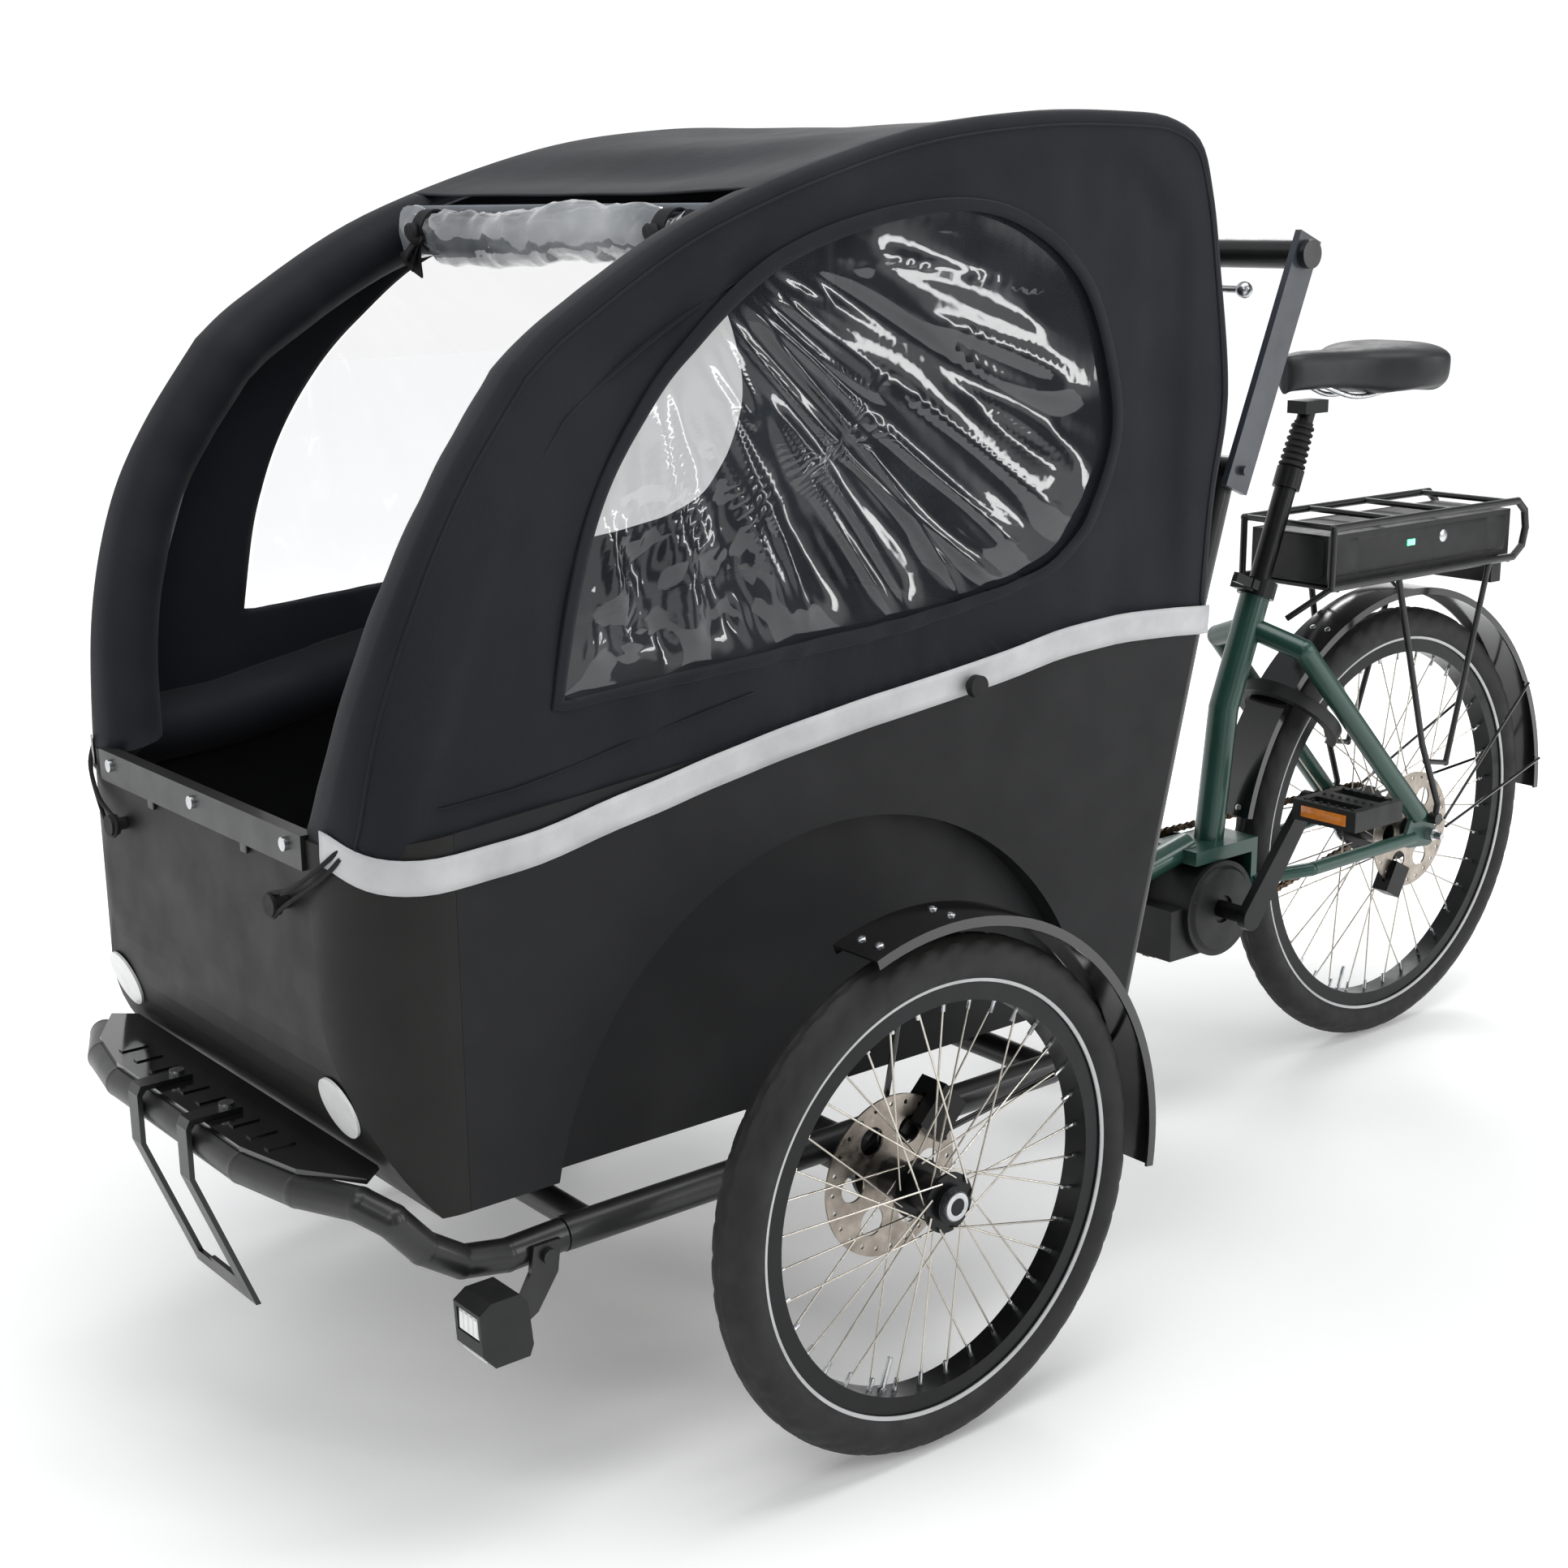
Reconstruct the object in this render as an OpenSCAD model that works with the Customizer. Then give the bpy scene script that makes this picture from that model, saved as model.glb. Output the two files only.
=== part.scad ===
// Front-box cargo trike with a rain hood.
// +X points forwards, +Y to the rider's left, +Z up. The origin is on the ground, midway
// between the step loop at the front and the rear mudguard at the back.
// Inside the modules x is measured from the front axle; placed() moves it to the row frame.

/* [Wheels] */
// Outer diameter of the front tyres
front_wheel_d = 500; // [420:1:560]
// Outer diameter of the rear tyre
rear_wheel_d = 601; // [540:1:640]
// Width of every tyre
tyre_w = 47; // [38:1:52]
// Spokes in each wheel
spoke_count = 36; // [28:4:36]
// Distance between the planes of the two front wheels
track = 832; // [790:1:900]
// Front axle to rear axle, along X
wheelbase = 1225; // [1200:1:1320]

/* [Box] */
// Outer width of the box
box_w = 590; // [500:1:600]
// Front panel ahead of the front axle
box_front = 505; // [420:1:560]
// Top of the rear panel behind the front axle
box_rear_top = 490; // [430:1:500]
// Foot of the rear panel behind the front axle
box_rear_foot = 385; // [340:1:390]
// Underside of the box floor above the ground
floor_z = 316; // [316:1:340]
// Thickness of the floor board
floor_t = 9; // [6:1:18]
// Thickness of the box panels
panel_t = 6; // [4:1:10]
// Rim height at the front panel
front_rim_z = 640; // [600:1:700]
// Rim height at the rear panel
rear_rim_z = 730; // [690:1:770]
// Radius of the upright front corners
corner_r = 85; // [60:1:110]
// Radius of the front panel's lower curve
front_curve_r = 250; // [200:1:320]
// Height at which the front panel starts to curve back
front_curve_z = 480; // [440:1:520]
// Depth of the wheel-arch recess in each side panel
arch_depth = 25; // [15:1:32]
// Radius of the wheel arch about the front axle
arch_r = 335; // [300:1:345]

/* [Bench] */
// Height of the bench board's top
bench_z = 482; // [440:1:520]
// Front edge of the bench behind the front axle
bench_front = 70; // [40:1:140]
// Thickness of the bench cushion
cushion_t = 55; // [35:1:70]

/* [Hood] */
// Outer width of the hood
hood_w = 597; // [580:1:620]
// Thickness of the hood's cloth in this model
cloth_t = 2.4; // [1:0.2:4]
// Tube diameter of the hoops
hoop_d = 16; // [12:1:20]
// Width of the cloth band along each front hoop
hood_band_w = 52; // [40:1:90]

/* [Chassis] */
// Tube diameter of the chassis
chassis_tube_d = 32; // [25:1:36]
// Half the distance between the side tubes
side_tube_y = 285; // [240:1:292]
// Height of the chassis tubes' axes
chassis_z = 262; // [255:1:284]
// Bumper tube diameter
bumper_d = 30; // [24:1:34]
// Foremost point of the bumper ahead of the front axle
bumper_front = 560; // [545:1:620]
// Height of the bumper tube's axis
bumper_z = 337; // [320:1:350]
// Height of the step loop's lowest edge
loop_bottom_z = 168; // [130:1:220]
// Distance between the step loop's two arms
loop_spacing = 104; // [80:1:140]

/* [Steering] */
// Steering axis behind the front axle
pivot_back = 345; // [335:1:370]
// Radius of the steerer pin
steerer_r = 14.95; // [12:0.05:17]
// Radial clearance of the steerer pin in its head tube
steerer_gap = 0.05; // [0.02:0.01:0.1]

/* [Rear frame] */
// Bottom bracket ahead of the rear axle
chainstay_l = 385; // [380:1:440]
// Height of the bottom bracket
bb_z = 265; // [250:1:290]
// Seat tube top ahead of the rear axle
seat_top_fwd = 284; // [270:1:300]
// Height of the seat tube's top
seat_top_z = 667; // [640:1:720]
// Lean of the seatpost from upright, in degrees
post_lean = 21; // [18:0.5:24]
// Outer diameter of the seat tube
seat_tube_d = 38; // [36:1:42]
// Half the distance between the two dropouts' middles
dropout_y = 74; // [70:1:80]
// Length of the crank arms, axis to axis
crank_l = 170; // [150:1:175]
// Direction of the left crank arm, from forwards over the top
crank_angle = 128; // [100:1:140]
// Radius of the chainring
chainring_r = 80; // [70:1:88]
// Radius of the rear sprocket
sprocket_r = 40; // [34:1:46]

/* [Seat] */
// Outer radius of the seatpost
seatpost_r = 13.6; // [12.5:0.1:15.8]
// Radius of the sprung head's shaft
head_r = 10.9; // [9:0.1:11.2]
// Radial clearance of the sliding tubes
slide_gap = 0.06; // [0.02:0.01:0.1]
// Top of the saddle above the ground
saddle_top_z = 962; // [930:1:1010]
// Length of the saddle
saddle_l = 262; // [240:1:290]
// Width of the saddle
saddle_w = 184; // [150:1:220]

/* [Rack] */
// Height of the rack's top rails' axes
rack_z = 738; // [720:1:780]
// Distance between the two rack rails
rack_w = 144; // [136:1:160]
// Length of the battery
battery_l = 392; // [340:1:400]
// Width of the battery
battery_w = 122; // [110:1:128]
// Height of the battery
battery_h = 62; // [50:1:66]

/* [Handlebar] */
// Distance between the handlebar arms' middles
arm_spacing = 548; // [500:1:560]
// Pivot of the arms behind the front axle
arm_pivot_back = 566; // [560:1:590]
// Height of the arms' pivot
arm_pivot_z = 862; // [840:1:900]
// Length of the arms, pivot to handlebar tube
arm_l = 238; // [210:1:280]
// Lean of the arms towards the rider, in degrees
arm_lean = 22; // [10:1:28]
// Diameter of the handlebar tube with its grips
bar_d = 31; // [25:1:34]

/* [Hidden] */
$fn = 48;

fit = 0.3;                        // gap between pieces that only lie against each other
eps = 0.01;

// wheels
front_r = front_wheel_d / 2;
rear_r = rear_wheel_d / 2;
tyre_r = tyre_w / 2;
rim_depth = 19;
rim_flange = 6;
rim_half_w = 14;
spoke_r = 1;
rotor_r = 80;
rotor_t = 2;
half_track = track / 2;
guard_gap_front = 20;
guard_gap_rear = 27;
guard_t = 2.5;
guard_half_w = 30;
front_guard_r = front_r + guard_gap_front;
rear_guard_r = rear_r + guard_gap_rear;

// the row frame: midway between the foremost and the rearmost point
loop_t = 5;
loop_front = bumper_front + 1 + loop_t;
rear_end = wheelbase + rear_guard_r + guard_t;
front_axle_x = (rear_end - loop_front) / 2;

// stub axles and hubs
axle_r = 10;
axle_bore_gap = 0.05;
boss_face_y = side_tube_y + 44;
flange_r = 29;
flange_t = 3;
flange_in = 20;
flange_out = 22;
hub_cap_out = 35;
rotor_in = 58;

// box
half_w = box_w / 2;
inner_y = half_w - panel_t;
pan_t = panel_t;
recess_y = half_w - arch_depth;
pan_y = recess_y - pan_t;
curve_end = asin((front_curve_z - floor_z) / front_curve_r);
curve_steps = 8;
bench_t = 12;

// chassis and steering
tube_r = chassis_tube_d / 2;
rear_cross_x = -pivot_back + 60;
head_tube_r = steerer_r + 9;
head_half = 34;
lug_t = 10;
lug_r = 30;
bumper_r = bumper_d / 2;
sleeve_x = 322;

// hood side outline: hem from front to rear, back, roof and front hoop (x, z)
hood_hem = [[478, 603], [355, 609], [195, 638], [38, 664], [-154, 686], [-333, 710]];
hood_back = [[-498, 702], [-508, 834], [-528, 945], [-498, 1085], [-486, 1165], [-462, 1204]];
hood_roof = [[-372, 1225], [-230, 1223], [-60, 1200], [147, 1136], [288, 1060], [342, 1020]];
hood_front = [[447, 862], [500, 716], [512, 640]];
hood_outline = concat(hood_hem, hood_back, hood_roof, hood_front);
// front edge of the roof, over the open front
roof_x = 92;
roof_z = 1153;
window_outline = [[309, 740], [264, 905], [170, 1020], [70, 1090], [-70, 1128], [-190, 1128],
                  [-290, 1070], [-338, 985], [-343, 897], [-275, 803], [-111, 770], [60, 757]];
hoop_r = hoop_d / 2;
hoop_y = hood_w / 2 - cloth_t - hoop_r - 4;
hoop_foot = [box_front - 33, 246, 560];

// rear frame, measured from the front axle
rear_x = -wheelbase;
bb = [rear_x + chainstay_l, 0, bb_z];
seat_top = [rear_x + seat_top_fwd, 0, seat_top_z];
post_dir = [-sin(post_lean), 0, cos(post_lean)];
post_bore_l = 165;
seat_knee = seat_top - post_bore_l * post_dir;
seat_foot = [bb[0] - 22, 0, bb_z + 75];
stay_r = 9;
chainstay_y = 66;
seatstay_r = 14;
axle_end_y = dropout_y + 26;
motor_r = 62;
motor_half_w = 43;
crank_y = 90;
crank_t = 12;
spindle_r = 11;
spindle_gap = 0.05;
chain_y = -49.5;
chain_w = 7;
chain_t = 6;
pedal_gap = 8;
pedal_l = 96;
pedal_w = 94;
pedal_h = 26;

// seat
post_insert = 95;
collar_at = 150;
collar_h = 26;
boot_l = 62;
head_top_at = collar_at + boot_l + 24;
head_insert = 55;
saddle_h = 66;
saddle_rear_x = seat_top[0] - 294;

// rack and battery
rail_r = 5;
rail_y = rack_w / 2;
rack_front_x = rear_x + 230;
rack_rear_x = rear_x - 187;
rack_floor_z = rack_z - 74;
battery_front_x = rear_x + 226;

// handlebar
arm_t = 8;
arm_w = 36;
post_y = arm_spacing / 2 - arm_t / 2 - 1 - tube_r;
arm_dir = [-sin(arm_lean), 0, cos(arm_lean)];
arm_pivot = [-arm_pivot_back, 0, arm_pivot_z];
bar_at = arm_pivot + arm_l * arm_dir;
lever_y = 128;
lever_at = [bar_at[0] + 14, 0, bar_at[2] - 34];

// ring lock, around the rear tyre ahead of the seat stays' middles
lock_angle = 139;
lock_r = rear_r - 19;
lock_in_r = 58.5;
lock_out_r = 71.5;
lock_t = 17;
bolt_in_r = 62;
bolt_out_r = 68;
bolt_t = 8;
lock_gap = 40;

// ---------- helpers ----------

module placed() {
    translate([front_axle_x, 0, 0]) children();
}

// straight round bar from a to b
module rod(a, b, r) {
    v = b - a;
    l = norm(v);
    translate(a) rotate([0, acos(v[2] / l), atan2(v[1], v[0])]) cylinder(r = r, h = l);
}

// round bar through a list of points, with a ball at each bend; the straight pieces stop a
// little short of the middle of the ball
module bent_rod(points, r) {
    last = len(points) - 1;
    for (i = [0 : last - 1]) {
        a = points[i];
        b = points[i + 1];
        d = (b - a) / norm(b - a);
        rod(a + (i > 0 ? 0.1 * r : 0) * d, b - (i < last - 1 ? 0.1 * r : 0) * d, r);
    }
    if (last > 1) {
        for (i = [1 : last - 1]) translate(points[i]) sphere(r = 1.02 * r);
    }
}

// cylinder along Y between two heights of y
module y_bar(x, z, y0, y1, r) {
    translate([x, min(y0, y1), z]) rotate([-90, 0, 0]) cylinder(r = r, h = abs(y1 - y0));
}

module both_sides() {
    children();
    mirror([0, 1, 0]) children();
}

// side-view outline (x, z) extruded across Y from y0 to y1
module side_prism(points, y0, y1) {
    translate([0, y1, 0]) rotate([90, 0, 0]) linear_extrude(height = y1 - y0) polygon(points);
}

function mirrored(p) = [p[0], -p[1], p[2]];
function along(a, d, l) = a + l * d;

// ---------- wheels ----------

module tyre_ring(r) {
    rim_r = r - tyre_w;
    rotate([90, 0, 0]) rotate_extrude($fn = 96) difference() {
        translate([r - tyre_r, 0]) circle(r = tyre_r);
        translate([r - tyre_r, 0]) circle(r = tyre_r - 3.5);
        translate([rim_r - 5, -rim_half_w - fit])
            square([5 + rim_flange + fit, 2 * rim_half_w + 2 * fit]);
    }
}

module rim_ring(r) {
    rim_r = r - tyre_w;
    rotate([90, 0, 0]) rotate_extrude($fn = 96) difference() {
        translate([rim_r - rim_depth + rim_flange, -rim_half_w])
            square([rim_depth, 2 * rim_half_w]);
        translate([rim_r, -rim_half_w + 2.5]) square([rim_depth, 2 * rim_half_w - 5]);
        translate([rim_r - rim_depth + rim_flange + 2, -rim_half_w + 4])
            square([rim_depth - rim_flange - 4.5, 2 * rim_half_w - 8]);
    }
}

// laced spokes: each second one comes from the far flange, half of them lean forwards
module spoke_set(r, hole_r, y_left, y_right, cross) {
    end_r = r - tyre_w - rim_depth + rim_flange - 1;
    step = 360 / spoke_count;
    for (k = [0 : spoke_count - 1]) {
        lean = (floor(k / 2) % 2 == 0) ? 1 : -1;
        flange_y = (k % 2 == 0) ? y_left : y_right;
        outward = (k % 2 == 0) ? 1 : -1;
        rim_a = (k + 0.4) * step;
        hub_a = rim_a + lean * cross * 2 * step;
        hub_y = flange_y + outward * lean * (flange_t / 2 + spoke_r + 1.2);
        rod([hole_r * cos(hub_a), hub_y, hole_r * sin(hub_a)],
            [end_r * cos(rim_a), flange_y * 0.02, end_r * sin(rim_a)], spoke_r, $fn = 16);
    }
}

// slotted brake rotor in the XZ plane, its thickness centred on y = 0
module rotor_disc(bore_r) {
    rotate([90, 0, 0]) linear_extrude(height = rotor_t, center = true) difference() {
        circle(r = rotor_r, $fn = 96);
        for (i = [0 : 5]) rotate(i * 60) translate([47, 0]) circle(r = 14);
        for (i = [0 : 23]) rotate(i * 15) translate([72, 0]) circle(r = 2.4, $fn = 16);
        circle(r = bore_r);
    }
}

// front hub, drawn for a wheel plane at y = 0 with the box towards -Y
module front_hub() {
    difference() {
        union() {
            y_bar(0, 0, -flange_in - flange_t / 2, -flange_in + flange_t / 2, flange_r);
            y_bar(0, 0, flange_out - flange_t / 2, flange_out + flange_t / 2, flange_r);
            y_bar(0, 0, -rotor_in + rotor_t / 2, hub_cap_out - 6, 18);
            y_bar(0, 0, hub_cap_out - 6 - eps, hub_cap_out, 14);
        }
        y_bar(0, 0, -rotor_in - 5, hub_cap_out - 9, axle_r + axle_bore_gap);
    }
    difference() {
        translate([0, -rotor_in, 0]) rotor_disc(18);
        y_bar(0, 0, -rotor_in - 5, -rotor_in + 5, 12);
    }
}

module front_wheel_place(side) {
    translate([0, side * half_track, front_r]) scale_side(side) children();
}

module scale_side(side) {
    if (side > 0) children();
    else mirror([0, 1, 0]) children();
}

// ---------- chassis ----------

module stub_boss() {
    y_bar(0, front_r, side_tube_y - 20, boss_face_y, 20);
}

module chassis() {
    rear_corner = [-box_rear_foot + 10, post_y, chassis_z];
    color("#1b1c1e") difference() {
        union() {
            both_sides() {
                rod([sleeve_x, side_tube_y, chassis_z], [rear_cross_x, side_tube_y, chassis_z], tube_r);
                translate([rear_cross_x, side_tube_y, chassis_z]) sphere(r = tube_r + 0.1);
                stub_boss();
                rod([rear_cross_x, side_tube_y, chassis_z], rear_corner, tube_r - 3);
                bent_rod([rear_corner,
                          [-box_rear_foot - 34, post_y, chassis_z + 40],
                          [-box_rear_top - 37, post_y, rear_rim_z],
                          [arm_pivot[0], post_y, arm_pivot_z]], tube_r - 3);
                y_bar(arm_pivot[0], arm_pivot_z, post_y - 16, arm_spacing / 2 - arm_t / 2 - fit, 14);
                translate([rear_corner[0], post_y, chassis_z]) sphere(r = tube_r - 2.9);
            }
            for (x = [sleeve_x - 30, rear_cross_x]) {
                y_bar(x, chassis_z, -side_tube_y, side_tube_y, tube_r - 2);
            }
            for (x = [sleeve_x - 60, 0, rear_cross_x + 30]) for (y = [-150, 150]) {
                translate([x - 20, y - 20, chassis_z + tube_r - 8])
                    cube([40, 40, floor_z - chassis_z - tube_r + 8]);
            }
            y_bar(0, chassis_z, -side_tube_y, side_tube_y, tube_r - 2);
            translate([-pivot_back, 0, chassis_z - head_half])
                cylinder(r = head_tube_r, h = 2 * head_half);
            rod([-pivot_back, 0, chassis_z], [rear_cross_x, 0, chassis_z], tube_r - 1);
        }
        translate([-pivot_back, 0, chassis_z - head_half - 5])
            cylinder(r = steerer_r + steerer_gap, h = 2 * head_half + 10);
        both_sides() y_bar(0, front_r, side_tube_y - 10, boss_face_y + 5, axle_r + axle_bore_gap);
        both_sides() rod([sleeve_x + 1, side_tube_y, chassis_z],
                         [sleeve_x - 60, side_tube_y, chassis_z], tube_r - 5);
        both_sides() y_bar(arm_pivot[0], arm_pivot_z, post_y - 30, arm_spacing / 2, 5 + slide_gap);
    }
}

bumper_bar_x = bumper_front - bumper_r;
module bumper() {
    path = [[sleeve_x + 0.9, side_tube_y, chassis_z], [380, side_tube_y, chassis_z - 2],
            [424, side_tube_y, chassis_z + 6], [460, side_tube_y, chassis_z + 30],
            [487, side_tube_y - 2, bumper_z - 13], [bumper_bar_x - 40, side_tube_y - 23, bumper_z],
            [bumper_bar_x - 14, 205, bumper_z], [bumper_bar_x, 130, bumper_z]];
    color("#1d1e20") {
        both_sides() bent_rod(path, bumper_r);
        both_sides() rod([sleeve_x - 50, side_tube_y, chassis_z],
                         [sleeve_x + 2, side_tube_y, chassis_z], tube_r - 5.3);
        y_bar(bumper_bar_x, bumper_z, -128, 128, bumper_r);
        both_sides() translate(path[7]) sphere(r = 1.02 * bumper_r);
    }
}

step_t = 5;
step_z = bumper_z + bumper_r + 0.6;
module step_plate() {
    rear = box_front - 42;
    outline = [[rear, -232], [bumper_bar_x - 48, -262], [bumper_bar_x - 12, -205],
               [bumper_bar_x + 3, -130], [bumper_bar_x + 3, 130], [bumper_bar_x - 12, 205],
               [bumper_bar_x - 48, 262], [rear, 232]];
    color("#141517") difference() {
        union() {
            translate([0, 0, step_z]) linear_extrude(height = step_t) polygon(outline);
            for (y = [-153, -119, -85, -17, 17, 85, 119, 153]) {
                translate([box_front + 3, y - 4, step_z + step_t - eps]) cube([26, 8, 1.5]);
            }
        }
        front_shell(0, 3);
        for (s = [-1, 1]) translate([bumper_bar_x - 23, s * loop_spacing / 2, step_z - 1])
            cylinder(r = 4.3, h = step_t + 2);
    }
}

// flat bar that hooks over the bumper and hangs down as a narrow U
module step_loop() {
    bar_w = 20;
    top = step_z + step_t + 0.3;
    x0 = bumper_bar_x - 34;
    x1 = loop_front - loop_t;
    lean = 54;
    side = [[x0, top], [x1 - 4, top], [x1, top - 5], [x1, bumper_z - 30],
            [x1 - lean, loop_bottom_z], [x1 - lean + loop_t, loop_bottom_z],
            [x1 + loop_t, bumper_z - 30], [x1 + loop_t, top - 3], [x1 + 1, top + loop_t],
            [x0, top + loop_t]];
    inner_y = loop_spacing / 2 - bar_w / 2;
    color("#101113") difference() {
        side_prism(side, -loop_spacing / 2 - bar_w / 2, loop_spacing / 2 + bar_w / 2);
        translate([x0 - 1, -inner_y, loop_bottom_z + 24]) cube([x1 + loop_t + 2 - x0, 2 * inner_y, 400]);
        translate([x0 - 1, -inner_y, loop_bottom_z + 18]) cube([x1 + loop_t + 2 - x0, inner_y - 12, 20]);
        for (s = [-1, 1]) translate([bumper_bar_x - 23, s * loop_spacing / 2, top - 1])
            cylinder(r = 4.3, h = loop_t + 2);
    }
}

// ---------- box ----------

// plan of the box, inset by i, with round front corners
module box_plan(i) {
    rear = -box_rear_top - 20;
    translate([rear, -half_w + i]) square([box_front - corner_r - rear, box_w - 2 * i]);
    translate([rear, -half_w + corner_r]) square([box_front - i - rear, box_w - 2 * corner_r]);
    for (s = [-1, 1]) translate([box_front - corner_r, s * (half_w - corner_r)])
        circle(r = corner_r - i, $fn = 72);
}

function rim_z_at(x) = front_rim_z + (box_front - x) * (rear_rim_z - front_rim_z) / (box_front + box_rear_top);
function rear_x_at(z) = -box_rear_foot - (z - floor_z) * (box_rear_top - box_rear_foot) / (rear_rim_z - floor_z);

// side outline of the box, inset by i at the front and rear, raised by up at the rim
function box_side(i, up, down) = concat(
    [for (k = [0 : curve_steps]) let (a = curve_end * k / curve_steps)
        [box_front - front_curve_r + (front_curve_r - i) * cos(a),
         front_curve_z - (front_curve_r - i) * sin(a)]],
    [[box_front - front_curve_r * (1 - cos(curve_end)) - i, floor_z - down],
     [rear_x_at(floor_z - down) + i, floor_z - down],
     [rear_x_at(rear_rim_z + up) + i, rear_rim_z + up],
     [box_front - i, front_rim_z + up]]);

module box_body(i, up, down) {
    intersection() {
        translate([0, 0, floor_z - down]) linear_extrude(height = 600) box_plan(i);
        side_prism(box_side(i, up, down), -half_w - 1, half_w + 1);
    }
}

module box_shell() {
    difference() {
        box_body(0, 0, 0);
        box_body(panel_t, 60, 20);
    }
}

// the outside of the front, grown to cut what lies against it
module front_shell(i, grow) {
    intersection() {
        translate([0, 0, floor_z]) linear_extrude(height = 200) box_plan(i - grow);
        side_prism([for (p = box_side(i - grow, 0, 0)) p], -half_w - 20, half_w + 20);
    }
}

front_split = box_front - corner_r - 2;

module box_front_panel() {
    color("#202124") intersection() {
        box_shell();
        translate([front_split + fit / 2, -half_w - 1, floor_z - 1]) cube([400, box_w + 2, 600]);
    }
}

module arch_cylinder(r, y0) {
    y_bar(0, front_r, y0, half_w + 10, r, $fn = 96);
}

module box_side_panels() {
    color("#1f2023") both_sides() difference() {
        union() {
            intersection() {
                box_shell();
                translate([-box_rear_top - 40, inner_y - eps, floor_z - 1])
                    cube([front_split - fit / 2 + box_rear_top + 40, panel_t + 5, 600]);
            }
            intersection() {
                arch_cylinder(arch_r + pan_t, pan_y);
                translate([-box_rear_foot + 3, pan_y, floor_z])
                    cube([box_rear_foot + front_split - 5, half_w - pan_y - 1, 400]);
            }
        }
        arch_cylinder(arch_r, recess_y);
    }
}

module box_rear_panel() {
    color("#232427") intersection() {
        box_shell();
        translate([-box_rear_top - 40, -inner_y + fit, floor_z - 1])
            cube([box_rear_top - 260, 2 * (inner_y - fit), 600]);
    }
}

module box_floor() {
    color("#2b2a28") difference() {
        intersection() {
            box_body(panel_t + fit, 0, 0);
            translate([-600, -half_w, floor_z]) cube([1200, box_w, floor_t]);
        }
        both_sides() arch_cylinder(arch_r + pan_t + fit, pan_y - fit);
    }
}

rail_h = 26;
rail_t = 4;
module rim_rails() {
    flat_y = half_w - corner_r - 5;
    color("#2a2b2d") difference() {
        translate([box_front - panel_t - rail_t, -flat_y, front_rim_z - rail_h])
            cube([panel_t + 2 * rail_t, 2 * flat_y, rail_h + rail_t]);
        translate([box_front - panel_t - fit, -flat_y - 1, front_rim_z - rail_h - 1])
            cube([panel_t + 2 * fit, 2 * flat_y + 2, rail_h + 2]);
    }
    x_front = front_split - 40;
    x_rear = -box_rear_top + 28;
    color("#b9bcc0") both_sides() side_prism(
        [[x_front, rim_z_at(x_front) - 3], [x_front, rim_z_at(x_front) - 3 - rail_h],
         [x_rear, rim_z_at(x_rear) - 3 - rail_h], [x_rear, rim_z_at(x_rear) - 3]],
        inner_y - fit - 14, inner_y - fit);
}

bench_half_w = pan_y - 2;
module bench() {
    board_rear = rear_x_at(bench_z - bench_t) + panel_t + 2;
    color("#2a2826") {
        translate([board_rear, -bench_half_w, bench_z - bench_t])
            cube([-bench_front - board_rear, 2 * bench_half_w, bench_t]);
        translate([-bench_front - bench_t, -bench_half_w, floor_z + floor_t])
            cube([bench_t, 2 * bench_half_w, bench_z - bench_t - floor_z - floor_t + eps]);
    }
}

module cushions() {
    seat_rear = rear_x_at(bench_z) + panel_t + 3;
    back_foot = bench_z + cushion_t + 6;
    back_top = rear_rim_z - 20;
    back_t = 38;
    color("#3a3d42") {
        translate([seat_rear, -bench_half_w + 8, bench_z + fit])
            cube([-bench_front + 4 - seat_rear, 2 * bench_half_w - 16, cushion_t]);
        side_prism([[rear_x_at(back_foot) + panel_t + fit, back_foot],
                    [rear_x_at(back_foot) + panel_t + back_t, back_foot],
                    [rear_x_at(back_top) + panel_t + back_t, back_top],
                    [rear_x_at(back_top) + panel_t + fit, back_top]],
                   -bench_half_w + 10, bench_half_w - 10);
    }
}

module front_reflectors() {
    drop = 73;
    tilt = asin(drop / front_curve_r);
    place = [box_front - front_curve_r * (1 - cos(tilt)), 0, front_curve_z - drop];
    color("#e9ebea") for (s = [-1, 1]) translate(place + [0, s * 218, 0])
        rotate([0, 90 + tilt, 0]) translate([0, 0, fit]) cylinder(r = 29, h = 2.5);
}

module box_fasteners() {
    rail_face = box_front + rail_t;
    color("#8d9095") for (y = [-178, 0, 178])
        translate([rail_face + 0.1, y, front_rim_z - 8]) rotate([0, 90, 0]) cylinder(r = 6, h = 3.5);
    color("#111214") {
        for (y = [-165, 165]) translate([box_front + fit, y, front_rim_z - 62]) rotate([0, 90, 0]) {
            cylinder(r = 6, h = 8);
            translate([0, 0, 8 - eps]) cylinder(r = 10, h = 9);
        }
        both_sides() {
            y_bar(-154, 692, hood_w / 2 + 0.1, hood_w / 2 + 6, 6);
            y_bar(-154, 692, hood_w / 2 + 6 - eps, hood_w / 2 + 14, 11);
        }
    }
    color("#c4c6c8") for (s = [-1, 1])
        translate([bumper_bar_x - 23, s * loop_spacing / 2, step_z + step_t + loop_t + 0.4])
            cylinder(r = 7, h = 4);
}

// ---------- hood ----------

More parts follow.
